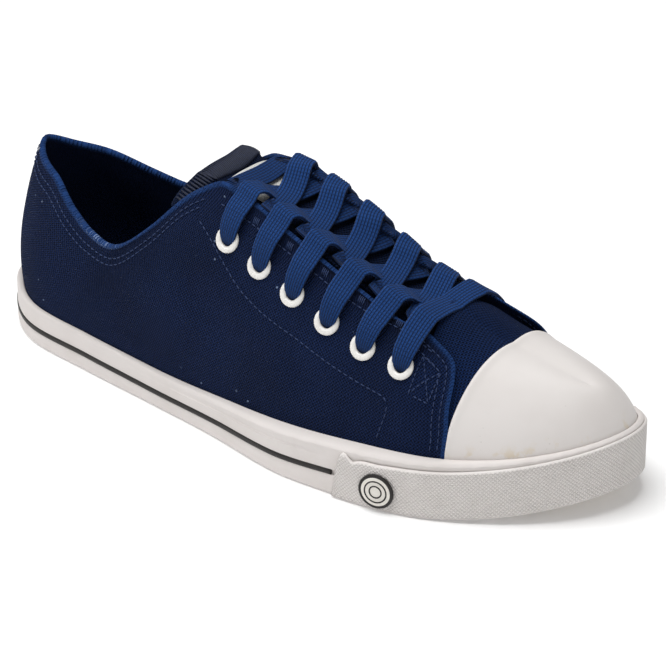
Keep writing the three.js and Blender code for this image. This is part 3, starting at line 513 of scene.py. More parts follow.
def add(material, kind, *values, **given):
    """Adds a node, and gives its output. Values fill its sockets in order, or by their places in a
    dict. A name with a capital is a socket's, with _ for a space, and another is a setting's."""
    node = material.node_tree.nodes.new("ShaderNode" + kind)
    sockets = dict(values[0] if values and isinstance(values[0], dict) else enumerate(values))
    for key, value in {**USUAL.get(kind, {}), **given}.items():
        if key[0].isupper():
            sockets[key.replace("_", " ")] = value
        else:
            setattr(node, key, value)
    for key, value in sockets.items():
        if isinstance(value, bpy.types.NodeSocket):
            material.node_tree.links.new(value, node.inputs[key])
        else:
            node.inputs[key].default_value = value
    return node.outputs[TAKEN.get(kind, 0)] if node.outputs else None


def new_material(name):
    material = bpy.data.materials.new(name)
    material.use_nodes = True
    material.node_tree.nodes.clear()
    return material


def surface(m, code, layers, roughness, height, bump, **sockets):
    """The shader that every material ends in: a colour with others laid over it by their shares,
    and a height in relief, with bump's strength and depth in metres."""
    base = colour(code)
    for share, over in layers:
        base = add(m, "Mix", {0: share, 6: base, 7: colour(over)})
    if height is not None:
        sockets["Normal"] = add(m, "Bump", Strength=bump[0], Distance=bump[1], Height=height)
    shader = add(m, "BsdfPrincipled", Base_Color=base, Roughness=roughness, **sockets)
    add(m, "OutputMaterial", Surface=shader)
    return m


def weave(m, uv, pitch, rib):
    """Height of a plain weave, its pitch in mm: threads of both ways, over and under in turn."""
    u = add(m, "SeparateXYZ", uv)
    turn = 2 * math.pi * 1000 / pitch
    a, b = (add(m, "Math", add(m, "Math", way, turn), operation="SINE") for way in (u, u.node.outputs[1]))
    return add(m, "Math", add(m, "Math", a, b), add(m, "Math", a, rib), operation="ADD")


# The scale of a noise is 1000 over the size of its patches in mm. A canvas thread's real pitch, about
# 0.6 mm, is too fine to show, so the weaves are drawn at 1.3 to 1.4 mm, and the knurl at 1.6 mm.

def canvas_cloth(name, dark, light, fold_highlight, pitch, rib, flecks=True):
    """Cotton canvas, piece dyed and plain woven: thick matt threads with painted shade between them,
    a few undyed specks of lint, and a painted highlight along the folded edges."""
    m = new_material(name)
    uv = add(m, "UVMap", uv_map="cloth")
    slub = add(m, "TexNoise", Vector=uv, Scale=900.0, Detail=2.0)
    height = add(m, "Math", weave(m, uv, pitch, rib), add(m, "Math", slub, 1.2), operation="ADD")
    cloud = add(m, "TexNoise", Vector=add(m, "TexCoord"), Scale=28.0, Detail=3.0)
    # Painted highlight: the canvas is drawn paler along its folded edges, broken up by the slubs.
    painted_fold_highlight = add(m, "Math", add(m, "Attribute", attribute_name="fold_highlight"),
                 add(m, "MapRange", slub, 0.3, 0.7, 0.45, 1.0))
    # Painted shade: where the weave is low, between the threads, the canvas is drawn darker.
    layers = [(add(m, "MapRange", height, -0.5, 1.7), light),
              (add(m, "MapRange", cloud, 0.35, 0.7, 0.0, 0.35), dark), (painted_fold_highlight, fold_highlight)]
    if flecks:
        lint = add(m, "MapRange", add(m, "TexVoronoi", Vector=uv, Scale=150.0), 0.09, 0.06)
        few = add(m, "MapRange", add(m, "TexNoise", Vector=uv, Scale=60.0, Detail=1.0), 0.55, 0.6)
        frayed = add(m, "MapRange", add(m, "TexNoise", Vector=uv, Scale=1500.0, Detail=1.0), 0.55, 0.62)
        layers += [(add(m, "Math", add(m, "Math", lint, few), 0.55), "#8fa3c4"),
                   (add(m, "Math", add(m, "Attribute", attribute_name="worn"), frayed), "#7f93b8")]
    return surface(m, dark, layers, 0.95, height, (1.0, 0.00035),
                   Specular_IOR_Level=0.05, Sheen_Weight=0.02, Sheen_Roughness=0.5)


def moulded_rubber(name, code, stain, roughness, knurl=0.0):
    """Vulcanised rubber, calendered and moulded: matt, a little yellowed and dusty.
    The toe strip is rolled with a fine diamond knurl, with painted shade in its hollows."""
    m = new_material(name)
    where = add(m, "TexCoord")
    dust = add(m, "TexNoise", Vector=where, Scale=70.0, Detail=4.0)
    height = add(m, "Math", add(m, "TexNoise", Vector=where, Scale=2600.0, Detail=2.0), 0.25)
    layers, depth = [(add(m, "MapRange", dust, 0.45, 0.75, 0.0, 0.25), stain)], 0.00006
    if knurl:
        u = add(m, "SeparateXYZ", add(m, "UVMap", uv_map="cloth"))
        waves = []
        for way in ("ADD", "SUBTRACT"):
            slant = add(m, "Math", u, u.node.outputs[1], operation=way)
            wave = add(m, "Math", add(m, "Math", slant, math.pi * 1000 / knurl), operation="SINE")
            waves.append(add(m, "Math", wave, operation="ABSOLUTE"))
        diamonds = add(m, "Math", *waves, operation="MINIMUM")
        shown = add(m, "Attribute", attribute_name="knurl")
        height = add(m, "Math", height, add(m, "Math", diamonds, shown), operation="ADD")
        # Painted shade: the knurl's grooves are drawn darker.
        low = add(m, "Math", add(m, "MapRange", diamonds, 0.45, 0.0), shown)
        layers.append((add(m, "Math", low, 0.6), "#a8a09a"))
        depth = 0.0004
    return surface(m, code, layers, roughness, height, (0.8, depth), Specular_IOR_Level=0.35)


def toe_cap_rubber():
    """Smooth moulded rubber with a satin skin, a few pinholes, and glue that has yellowed where
    the cap goes down behind the band."""
    m = new_material("smooth_moulded_cap_rubber")
    where = add(m, "TexCoord")
    cloud = add(m, "TexNoise", Vector=where, Scale=35.0, Detail=3.0)
    patches = add(m, "TexNoise", Vector=where, Scale=160.0, Detail=4.0)
    glue = add(m, "Math", add(m, "Attribute", attribute_name="foot"), add(m, "MapRange", patches, 0.56, 0.66))
    holes = add(m, "MapRange", add(m, "TexVoronoi", Vector=where, Scale=420.0), 0.12, 0.07)
    few = add(m, "MapRange", add(m, "TexNoise", Vector=where, Scale=90.0, Detail=1.0), 0.62, 0.66)
    pit = add(m, "Math", holes, few)
    grain = add(m, "TexNoise", Vector=where, Scale=1800.0, Detail=2.0)
    height = add(m, "Math", add(m, "Math", grain, 0.2), pit, operation="SUBTRACT")
    # Painted shade: the pinholes are drawn darker.
    layers = [(add(m, "MapRange", cloud, 0.4, 0.7, 0.0, 0.5), "#dad4d0"),
              (add(m, "Math", glue, 0.45), "#d2bd92"), (add(m, "Math", pit, 0.3), "#9d958f")]
    return surface(m, "#e4dfdc", layers, 0.5, height, (0.5, 0.00006), Specular_IOR_Level=0.35)


def braided_tape(plait=1.24, loop=1.5):
    """Flat braided polyester lace: a row of plaits along it, each a chain of small loops, with
    dark lines of painted shade between them. The width of a plait and the length of a loop are in mm."""
    m = new_material("braided_polyester_lace")
    uv = add(m, "UVMap", uv_map="cloth")
    u = add(m, "SeparateXYZ", uv)

    def off_middle(run):
        shift = add(m, "Math", add(m, "Math", run, operation="FRACT"), 0.5, operation="SUBTRACT")
        return add(m, "Math", shift, operation="ABSOLUTE")

    bow = off_middle(add(m, "Math", u, 1000 / plait))
    slant = add(m, "Math", bow, 1.1)
    tick = off_middle(add(m, "Math", add(m, "Math", u.node.outputs[1], 1000 / loop), slant, operation="ADD"))
    height = add(m, "Math", add(m, "MapRange", bow, 0.5, 0.2), add(m, "MapRange", tick, 0.0, 0.22, 0.55, 1.0))
    fuzz = add(m, "MapRange", add(m, "TexNoise", Vector=uv, Scale=1600.0, Detail=2.0), 0.3, 0.7, 0.75, 1.0)
    # Painted shade: the braid is drawn darker in its low places between the plaits and loops, and where deep
    # marks the lace going down into an eyelet.
    layers = [(add(m, "Math", height, fuzz), "#1e4786"),
              (add(m, "Attribute", attribute_name="deep"), "#081430")]
    return surface(m, "#040b1d", layers, 0.85, height, (1.0, 0.0003),
                   Specular_IOR_Level=0.15, Sheen_Weight=0.05)


def woven_label():
    """Woven satin label in off-white yarn: fine ribs across it, plain, with a soft shine."""
    m = new_material("woven_satin_label")
    uv = add(m, "UVMap", uv_map="cloth")
    ribs = weave(m, uv, 0.9, 0.7)
    patch = add(m, "TexNoise", Vector=uv, Scale=500.0, Detail=2.0)
    # Painted shade: the label is drawn darker between its ribs, with patches of tone at random.
    shade = add(m, "MapRange", add(m, "Math", ribs, patch, operation="ADD"), -0.8, 2.0)
    return surface(m, "#b9b9b6", [(shade, "#e2e1dc")], 0.7, ribs, (0.7, 0.0001))


def enamel():
    """Pressed metal eyelet, sprayed with white enamel: thick, smooth and glossy."""
    m = new_material("sprayed_white_enamel")
    where = add(m, "TexCoord")
    orange_peel = add(m, "TexNoise", Vector=where, Scale=900.0, Detail=1.0)
    dust = add(m, "MapRange", add(m, "TexNoise", Vector=where, Scale=240.0, Detail=2.0), 0.5, 0.75, 0.0, 0.4)
    return surface(m, "#eceae6", [(dust, "#d8d4cd")], 0.32, orange_peel, (0.3, 0.00005),
                   Coat_Weight=0.3, Coat_Roughness=0.2)


def sewing_thread(name, code, light):
    """Spun polyester thread: two plies, slightly glossier than the canvas."""
    m = new_material(name)
    plies = add(m, "TexNoise", Vector=add(m, "TexCoord"), Scale=3000.0, Detail=1.0)
    return surface(m, code, [(add(m, "MapRange", plies, 0.35, 0.65), light)], 0.7, plies, (0.5, 0.00008))


def studio_paper():
    """Seamless background paper: matt and nearly white, with the faintest cloud."""
    m = new_material("pale_floor")
    tone = add(m, "TexNoise", Vector=add(m, "TexCoord"), Scale=2.0, Detail=2.0)
    return surface(m, "#fafafa", [(tone, "#ffffff")], 0.9, None, None,
                   Emission_Color=colour("#ffffff"), Emission_Strength=0.12)


CANVAS = canvas_cloth("plain_woven_canvas", "#050a19", "#1d2f5a", "#24457d", 1.4, 0.2)
VAMP_CANVAS = canvas_cloth("ribbed_vamp_canvas", "#060e20", "#1b3262", "#24457d", 1.3, 0.6)
TONGUE_CANVAS = canvas_cloth("tongue_canvas", "#060c1c", "#142344", "#24457d", 1.4, 0.2)
LINING = canvas_cloth("twill_lining", "#0a1228", "#182a54", "#223f72", 0.9, 0.3, False)
SOLE_RUBBER = moulded_rubber("calendered_foxing_rubber", "#dbd5d2", "#c0b8b1", 0.62)
TREAD_RUBBER = moulded_rubber("moulded_outsole_rubber", "#cbc2b6", "#a89d90", 0.7)
BUMPER_RUBBER = moulded_rubber("knurled_toe_rubber", "#e4dfdc", "#bdb5af", 0.6, 1.6)
BLACK_RUBBER = moulded_rubber("black_rubber_line", "#1d1a19", "#3a3532", 0.55)
BADGE_RUBBER = moulded_rubber("pale_badge_rubber", "#e6e2da", "#c9c3b8", 0.5)
CAP_RUBBER = toe_cap_rubber()
LACE = braided_tape()
LABEL = woven_label()
ENAMEL = enamel()
THREAD = sewing_thread("navy_sewing_thread", "#101f42", "#213a68")
OVERLOCK = sewing_thread("overlock_thread", "#080d1c", "#15213f")


# Creases.

# Soft troughs and ridges of the canvas: the side (-1 outer, 1 inner), from and to as
# shares of the length and of the instep height, half width and rise in millimetres.
CREASES = columns(("side", "x0", "z0", "x1", "z1", "half", "rise"), [
    (-1, 0.04, 0.42, 0.13, 0.62, 7, -0.5),
    (-1, 0.1, 0.3, 0.2, 0.5, 9, 0.4),
    (-1, 0.22, 0.5, 0.3, 0.3, 9, -0.5),
    (-1, 0.3, 0.55, 0.4, 0.36, 8, 0.5),
    (-1, 0.38, 0.6, 0.5, 0.34, 7, -0.5),
    (-1, 0.5, 0.5, 0.6, 0.3, 7, 0.4),
    (-1, 0.57, 0.48, 0.68, 0.26, 6, -0.4),
    (-1, 0.68, 0.4, 0.76, 0.25, 6, -0.45),
    (1, 0.05, 0.3, 0.16, 0.6, 8, -0.5),
    (1, 0.2, 0.5, 0.32, 0.3, 9, 0.5),
    (1, 0.34, 0.55, 0.46, 0.3, 8, -0.6),
    (1, 0.5, 0.5, 0.62, 0.28, 7, 0.5),
    (1, 0.64, 0.42, 0.74, 0.24, 6, -0.4),
])


def creases(points, side):
    """How far the canvas stands out of its plain surface because of its creases."""
    x, z = points[..., 0] / LENGTH, points[..., 2] / INSTEP_HEIGHT
    rise = np.zeros(x.shape)
    for i in range(len(CREASES["side"])):
        at = {name: values[i] for name, values in CREASES.items()}
        dx, dz = (at["x1"] - at["x0"]) * LENGTH, (at["z1"] - at["z0"]) * INSTEP_HEIGHT
        px, pz = (x - at["x0"]) * LENGTH, (z - at["z0"]) * INSTEP_HEIGHT
        length = math.hypot(dx, dz)
        along = (px * dx + pz * dz) / length**2
        off = (px * dz - pz * dx) / length
        ends = soft_step(along, -0.2, 0.3) * (1 - soft_step(along, 0.7, 1.2))
        rise += np.where(side == at["side"], at["rise"] * ends * np.exp(-(off / at["half"])**2), 0)
    above_sole = soft_step(z * INSTEP_HEIGHT, 22, 34)
    return rise * above_sole


# Quarters.

def resampled(points, values, count):
    """Values along a line, at even steps of its length in space."""
    length = arc(points, 0)
    steps = np.linspace(0, length[-1], count)
    return np.stack([np.interp(steps, length, column) for column in values.T], 1)


def rounded_off(values, at, reach, span):
    """Smooths a line near one of its points."""
    out = values.copy()
    for i in range(max(1, at - reach), min(len(values) - 1, at + reach + 1)):
        w = np.exp(-(np.arange(len(values)) - i)**2 / (2 * span**2))
        out[i] = (values * w[:, None]).sum(0) / w.sum()
    return out


def quarter_edges(side):
    """The edges of one quarter as pairs of station and height: top, from heel to front, and front."""
    def in_space(line):
        return surface_at(line[:, 0], side, line[:, 1])

    def in_plan(alongs, halves):
        station, _, height = find_place(alongs * LENGTH, side * halves * BALL_WIDTH)
        return np.stack([station, height], -1)

    tip = float(in_plan(FACING_TIP, throat_share(FACING_TIP))[0])
    stations = np.linspace(0, tip, 90)
    collar = np.stack([stations, height_for(stations, side, collar_line)], 1)
    alongs = np.linspace(FACING_TIP + 0.004, 0.735, 70)
    facing = in_plan(alongs, throat_share(alongs))
    run, table_run = np.linspace(0, 1, 60), np.linspace(0, 1, len(QUARTER_FRONT["along"]))
    front = in_plan(*(curve(table_run, QUARTER_FRONT[column])(run) for column in ("along", "side")))
    down = np.stack([np.full(12, front[-1, 0]), np.linspace(front[-1, 1], 0, 13)[1:]], 1)
    top = np.concatenate([collar, facing, front[:1]])
    top = resampled(in_space(top), top, 400)
    top = rounded_off(top, int(np.argmax(in_space(top)[:, 2])), 16, 4.5)
    front = np.concatenate([front, down])
    return top, resampled(in_space(front), front, 200)[::-1]


def clustered(count, edge_share, edge_count):
    """Shares from 0 to 1, closer together near 1."""
    return np.concatenate([np.linspace(0, 1 - edge_share, count, endpoint=False),
                           np.linspace(1 - edge_share, 1, edge_count)])


U_RUN = clustered(128, 0.035, 12)
V_RUN = clustered(46, 0.09, 13)


def quarter_half(side):
    """Points and edge distances of one quarter, from the heel (first column) to its front edge."""
    top, front = quarter_edges(side)

    def pick(line, share):
        run = np.linspace(0, 1, len(line))
        return np.stack([np.interp(share, run, line[:, k]) for k in (0, 1)], -1)

    heel = np.stack([np.zeros(200), np.linspace(0, top[0, 1], 200)], 1)
    bottom = np.stack([np.linspace(0, front[0, 0], 200), np.zeros(200)], 1)
    u, v = np.meshgrid(U_RUN, V_RUN, indexing="ij")
    t, b, l, f = pick(top, u), pick(bottom, u), pick(heel, v), pick(front, v)
    corners = (((1 - u) * (1 - v))[..., None] * bottom[0] + (u * (1 - v))[..., None] * bottom[-1]
               + ((1 - u) * v)[..., None] * top[0] + (u * v)[..., None] * top[-1])
    at = ((1 - v)[..., None] * b + v[..., None] * t + (1 - u)[..., None] * l + u[..., None] * f - corners)
    points = surface_at(at[..., 0], side, np.clip(at[..., 1], 0, 1))
    rows, cols = arc(points, 1), arc(points, 0)
    from_top = rows[:, -1:] - rows
    from_front = cols[-1:, :] - cols
    uv = np.stack([np.broadcast_to(cols[:, 25:26], u.shape), rows], -1)
    return points, from_top, from_front, uv


def make_quarters():
    """Both quarters as one sheet round the heel, with its folded edge and the dents of its seams."""
    halves = {side: quarter_half(side) for side in (-1, 1)}
    points, from_top, from_front, uv = (np.concatenate([outer[:0:-1], inner])
                                        for outer, inner in zip(halves[-1], halves[1]))
    side = np.where(np.arange(len(points)) < len(U_RUN) - 1, -1.0, 1.0)[:, None] * np.ones(points.shape[:2])
    uv[..., 0] *= side
    rim = np.minimum(from_top, from_front)
    roll = np.exp(-(rim / 1.6)**4)
    x = points[..., 0]
    rise = creases(points, side) * soft_step(rim, 1, 12)
    heel_tuck = np.exp(-((x - 8) / 9)**2 - ((points[..., 2] - HEEL_HEIGHT) / 7)**2)
    stand_off = 1.6 * np.exp(-(from_front / 6)**2) * soft_step(points[..., 2], 34, 52) * (side > 0)
    seam = sum(np.exp(-((rim - row) / 0.7)**2) for row in SEAM_ROWS)
    outer = 0.45 * roll + rise - 0.5 * heel_tuck + stand_off - 0.16 * seam
    share = np.clip((x / LENGTH - RIDGE_BACK) / (RIDGE_FRONT - RIDGE_BACK), 0, 1)
    front_share = soft_step(from_front, 14, 4)
    inner = np.where(from_front < 14, np.minimum(outer - 0.8, last_depth(share)), last_depth(share)) + rise
    inner = inner * (1 - front_share) + (outer - 0.9) * front_share
    # fold marks the band along the folded edge where the canvas gets a painted highlight; the worn specks lie
    # in it too.
    fold_highlight = 0.8 * np.exp(-(rim / 1.4)**6)
    worn = fold_highlight * np.exp(-((x - 66) / 12)**2) * (side < 0)
    obj = thick_sheet("canvas_quarters", points, outer, inner, [CANVAS, LINING], uv,
                      {"fold_highlight": fold_highlight, "worn": worn})
    return finish_piece(obj, ["upper"])


# Vamp.

def cross_rows(count):
    """Rows across the shoe: side and height, from the outer foot over the ridge to the inner."""
    w = np.linspace(-1, 1, count)
    return np.where(w < 0, -1.0, 1.0), 1 - np.abs(w)


def make_vamp():
    """The ribbed canvas between the quarters and the toe cap, and under both."""
    side, height = cross_rows(121)
    rear, front = station_of((0.752 - RIDGE_BACK) / (RIDGE_FRONT - RIDGE_BACK)), station_of(0.93)
    station = rear + (front - rear) * np.linspace(0, 1, 46)[:, None] + 0 * side
    points = surface_at(station, side, height)
    share = share_of(station)
    uv = np.stack([arc(points, 0), arc(points, 1)], -1)
    x, z = points[..., 0], points[..., 2]
    wave = 0.35 * np.sin((x - 205) / 5.5) * np.exp(-((z - 55) / 14)**2)
    rise = wave * soft_step(z, 24, 36)
    # It rises a little toward the cap, so that no gap shows there.
    depth = last_depth(share) + VAMP_WALL + rise + 0.45 * soft_step(share, 0.78, 0.84)
    obj = thick_sheet("canvas_vamp", points, depth, last_depth(share) + rise, [VAMP_CANVAS, LINING], uv)
    return finish_piece(obj, ["upper"])


# Toe cap.

def make_toe_cap():
    """One sheet of rubber from its rear edge over the toe, thicker along that edge."""
    heights = np.concatenate([np.linspace(0, 0.55, 34), np.linspace(0.55, 1, 37)[1:]])
    run = np.concatenate([np.linspace(0, 0.06, 8), np.linspace(0.06, 1, 62)[1:]])[:, None]
    grids = []
    for side in (-1.0, 1.0):
        def behind_edge(station):
            at = surface_at(station, side, heights)
            across = (at[:, 1] - swing(at[:, 0])) / (BALL_WIDTH / 2)
            return at[:, 0] < LENGTH * (CAP_EDGE - CAP_CURVE * across**2)

        edge = found(np.full(70, 0.5), np.full(70, 0.99), 30, behind_edge)
        grids.append(surface_at(edge + (1 - edge) * run, side, heights))
    points = np.concatenate([grids[0], grids[1][-2::-1]])
    rims = [arc(grid, 0) for grid in grids]
    rear = np.concatenate([rims[0], rims[1][-2::-1]])
    uv = np.stack([arc(points, 0), arc(points, 1)], -1)
    foot = np.exp(-((points[..., 2] - floor_line(points[..., 0]) - FOXING_HEIGHT) / 3.2)**2)
    lip = 0.35 * np.exp(-(rear / 1.6)**2)
    obj = thick_sheet("toe_cap_rubber", points, lip, -CAP_WALL, [CAP_RUBBER], uv, {"foot": foot})
    # The rubber is stretched smooth over the middle line.
    ridge = obj.vertex_groups.new(name="ridge")
    at = np.empty(3 * len(obj.data.vertices))
    obj.data.vertices.foreach_get("co", at)
    x, y, z = (at.reshape(-1, 3) * 1000 + ORIGIN).T
    share = np.exp(-((y - swing(x)) / 16)**4) * soft_step(x / LENGTH, CAP_EDGE + 0.006, CAP_EDGE + 0.03)
    share *= soft_step(z - floor_line(x), FOXING_HEIGHT + 3, FOXING_HEIGHT + 12)
    for i, weight in enumerate(share.tolist()):
        ridge.add([i], weight, "REPLACE")
    apply_modifier(obj, "SMOOTH", factor=0.5, iterations=40, vertex_group="ridge")
    return finish_piece(obj, ["toe_cap"])


# Tongue and label.

def plan_grid(across, alongs):
    """Surface points at places in plan, all given as shares of ball width and length."""
    across = np.where(np.abs(across) < 1e-4, 1e-4, across)
    place = find_place(alongs * LENGTH, across * BALL_WIDTH)
    return sagging(surface_at(*place)), share_of(place[0])


def tongue_curl(u, from_top):
    """How far the tongue's top curls up toward its inner corner."""
    return TONGUE_CURL * soft_step(u, -0.1, 0.9) * np.exp(-(from_top / 14)**2)


def make_tongue():
    """One padded sheet, with a hem along its curled top."""
    runs = np.concatenate([np.linspace(0, 0.12, 22), np.linspace(0.12, 1, 75)[1:]])
    u, v = np.meshgrid(np.linspace(-1, 1, 61), runs, indexing="ij")
    top = tongue_top(u * TONGUE_HALF)
    along = top + (TONGUE_END - top) * v
    widening = soft_step(v, 0, 0.1)
    across = u * (TONGUE_HALF * (1 - widening) + tongue_side(along) * widening)
    points, share = plan_grid(across, along)
    from_top = arc(points, 1)
    uv = np.stack([arc(points, 0), from_top], -1)
    curl = tongue_curl(u, from_top)
    hem = 0.45 * (1 - soft_step(from_top, 7.5, 9.5))
    puff = 0.5 * np.cos(u * math.pi / 2) * soft_step(from_top, 8, 20) * np.exp(-(from_top / 60)**2)
    depth = tongue_depth(share)
    body = thick_sheet("canvas_tongue", points, depth + curl + hem + puff, depth - TONGUE_WALL + curl,
                       [TONGUE_CANVAS, LINING], uv)
    finish_piece(body, ["tongue"])


def make_overlock():
    """Threads over the tongue's raw edge, each slanting up from inside the hem."""
    reach = 8.6
    steps = np.linspace(0, 1, 9)
    away = (1 - steps) * reach
    arch = 0.32 * np.sin(math.pi * np.clip(steps * 0.9 + 0.12, 0, 1))
    threads = []
    for start in np.linspace(-0.985, 0.985, 60):
        lean = start + 0.055 * steps
        top_at = tongue_top(np.clip(lean, -1, 1) * TONGUE_HALF)
        across = np.clip(lean, -0.995, 0.995) * TONGUE_HALF * BALL_WIDTH
        across = np.where(np.abs(across) < 0.01, 0.01, across)
        place = find_place((top_at + away / LENGTH + 0.0006) * LENGTH, across)
        over = (tongue_depth(share_of(place[0])) + tongue_curl(lean, away)
                + 0.5 + 0.5 * soft_step(lean, -0.4, 0.5) + arch)
        threads.append(sagging(surface_at(*place)) + normal_at(*place, sagging) * over[:, None])
    finish_piece(thread_mesh("tongue_overlock", threads, 0.46, OVERLOCK), [])


def make_label():
    """The bare label across the tongue, behind the top strip of lace."""
    u, v = np.meshgrid(np.linspace(-1, 1, 34), np.linspace(0, 1, 30), indexing="ij")
    points, share = plan_grid(u * LABEL_HALF, LABEL_BACK + (LABEL_FRONT - LABEL_BACK) * v)
    uv = np.stack([arc(points, 0), arc(points, 1)], -1)
    outer = tongue_depth(share) + GAP + LABEL_WALL + 0.45 * (1 - np.abs(u)**6)
    obj = thick_sheet("woven_tongue_label", points, outer, tongue_depth(share) - 0.2, [LABEL], uv, rim=2)
    finish_piece(obj, ["tongue_label"])


# Threads and stitches.

def thread_mesh(name, lines, radius, material, sides=6):
    """Round threads through lines of points, pinched at their ends, as one mesh."""
    points, faces = [], []
    turn = np.linspace(0, 2 * math.pi, sides, endpoint=False)
    for line in lines:
        line = np.asarray(line)
        along = np.gradient(line, axis=0)
        along /= np.linalg.norm(along, axis=1, keepdims=True) + 1e-12
        helper = np.cross(along, [0.31, 0.17, 0.93])
        helper /= np.linalg.norm(helper, axis=1, keepdims=True) + 1e-12
        other = np.cross(along, helper)
        run = np.linspace(0, 1, len(line))
        size = radius * np.clip(np.sin(math.pi * np.clip(run, 0.06, 0.94))**0.35, 0.35, 1)
        start = len(points)
        for i in range(len(line)):
            for a in turn:
                points.append(line[i] + (helper[i] * math.cos(a) + other[i] * math.sin(a)) * size[i])
        for i in range(len(line) - 1):
            for k in range(sides):
                n = (k + 1) % sides
                a, b = start + i * sides, start + (i + 1) * sides
                faces.append([a + k, a + n, b + n, b + k])
        faces.append([start + k for k in range(sides)][::-1])
        faces.append([start + (len(line) - 1) * sides + k for k in range(sides)])
    return mesh_piece(name, points, faces, [material])


def stitch_lines(points, normals, pitch=2.7, length=1.9, rise=0.22):
    """Short threads along a line on the canvas, each arched out of its two needle holes."""
    run = arc(points, 0)
    lines = []
    for start in np.arange(0.3, run[-1] - length, pitch):
        at = start + length * np.linspace(0, 1, 6)
        p = np.stack([np.interp(at, run, points[:, k]) for k in range(3)], 1)
        n = np.stack([np.interp(at, run, normals[:, k]) for k in range(3)], 1)
        lines.append(p + n * (rise * np.sin(math.pi * np.linspace(0.04, 0.96, 6))[:, None] - 0.12))
    return lines


def on_surface(station, side, height, lift=0.0):
    points = surface_at(station, side, height)
    normals = normal_at(station, side, height)
    bend = creases(points, side)
    return points + normals * (lift + bend)[..., None], normals


def sewn(x, across, lift=0.1, **stitch):
    """Stitches along a line on the canvas, given in plan."""
    return stitch_lines(*on_surface(*find_place(x, across), lift), **stitch)


# In plan, as shares of the length and of the ball width: the row along the facing, the row outside
# the eyelets, and the hook at the end of that one. Then the stitched box by the first eyelet.
STITCH_ROWS = [
    ([0.425, 0.53, 0.65, 0.735, 0.775], [0.215, 0.222, 0.228, 0.226, 0.238]),
    ([0.4, 0.47, 0.52, 0.6, 0.68, 0.726, 0.738, 0.744],
     [0.262, 0.312, 0.33, 0.342, 0.355, 0.365, 0.37, 0.38]),
    ([0.744, 0.7445, 0.743, 0.741, 0.739], [0.38, 0.39, 0.4, 0.41, 0.42])]
STITCH_BOX = [(0.768, 0.26), (0.797, 0.275), (0.796, 0.35), (0.768, 0.35), (0.768, 0.26)]


def make_stitching():
    """All the rows of stitches, the box by the first eyelet and the bar tacks, as one mesh."""
    lines = []
    for side in (-1.0, 1.0):
        # Two rows under the collar.
        stations = np.linspace(0.0, float(find_place(0.4 * LENGTH, side * 0.21 * BALL_WIDTH)[0]), 220)
        for down in SEAM_ROWS:
            heights = height_for(stations, side, lambda x: collar_line(x) - down)
            lines += stitch_lines(*on_surface(stations, np.full(220, side), heights, 0.1))
        for xs, ds in STITCH_ROWS:
            table_run, run = np.linspace(0, 1, len(xs)), np.linspace(0, 1, 160)
            x, off = curve(table_run, xs)(run), curve(table_run, ds)(run)
            lines += sewn(x * LENGTH, side * off * BALL_WIDTH)
        # Two rows behind the front edge, which follow it.
        front = quarter_edges(int(side))[1][::-1]
        edge = surface_at(front[:, 0], side, front[:, 1])
        edge = edge[edge[:, 2] > floor_line(edge[:, 0]) + FOXING_HEIGHT]
        x, off = edge[:, 0], np.abs(edge[:, 1] - swing(edge[:, 0]))
        way = np.stack([np.gradient(x), np.gradient(off)], 1)
        way /= np.linalg.norm(way, axis=1, keepdims=True)
        for inward in FRONT_ROWS:
            lines += sewn(x - way[:, 1] * inward, side * (off + way[:, 0] * inward))
        box = STITCH_BOX
        for a, b in list(zip(box, box[1:])) + [(box[0], box[2]), (box[1], box[3])]:
            x, off = (np.linspace(a[k], b[k], 24) for k in (0, 1))
            lines += sewn(x * LENGTH, side * off * BALL_WIDTH, pitch=2.2, length=1.6)
        # Bar tacks on the facing's edge, between the strips of lace.
        for row in range(EYELET_ROWS - 1):
            middle = (EYELET_FIRST - EYELET_STEP * (row + 0.42)) * LENGTH
            off = side * np.linspace(0.2, 0.232, 12) * BALL_WIDTH
            for k in range(4):
                x = np.full(12, middle + (k - 1.5) * 0.7)
                lines += sewn(x, off, 0.12, pitch=3.1, length=2.7, rise=0.3)
    # Rows down the back seam.
    h = np.linspace(0.28, 0.93, 120)
    for side in (np.full(120, -1.0), np.full(120, 1.0)):
        inside = lambda station: np.abs(surface_at(station, side, h)[:, 1]) < BACK_SEAM
        station = found(np.zeros(120), np.full(120, 0.2), 24, inside)
        keep = surface_at(station, side, h)[:, 2] < HEEL_HEIGHT - 4
        lines += stitch_lines(*on_surface(station[keep], side[keep], h[keep], 0.1))
    finish_piece(thread_mesh("seam_stitches", lines, 0.27, THREAD), [])


# Sole.

def stand_out(station, side, height):
    """How far the upper stands out of the outline at a height over the bottom of the sole."""
    point, out = outline_at(station, side)

    def below(middle):
        at = surface_at(station, side, middle)
        return at[..., 2] - floor_line(at[..., 0]) < height

    at = surface_at(station, side, found(np.zeros(station.shape), np.full(station.shape, 0.6), 20, below))
    return ((at[..., :2] - point) * out).sum(-1)


def relief(share):
    return (BUMPER_WALL + GAP) * soft_step(share, STRIPE_END - RELIEF_RUN, STRIPE_END)


def band_rings(station, side, profile):
    """Rings of a profile, given as pairs of outward distance and height over the sole's bottom."""
    rings = []
    for outward, height in profile:
        point, _ = outline_at(station, side, outward + 0 * station)
        rings.append(np.stack([point[:, 0], point[:, 1], floor_line(point[:, 0]) + height], -1))
    return np.stack(rings, 1)


def round_run(first, last, count):
    """Stations and sides round the shoe: out along the outer side, back along the inner side."""
    run = np.linspace(first, last, count)
    station = np.concatenate([run, run[-2::-1]])
    side = np.concatenate([np.full(count, -1.0), np.full(count - 1, 1.0)])
    return station, side


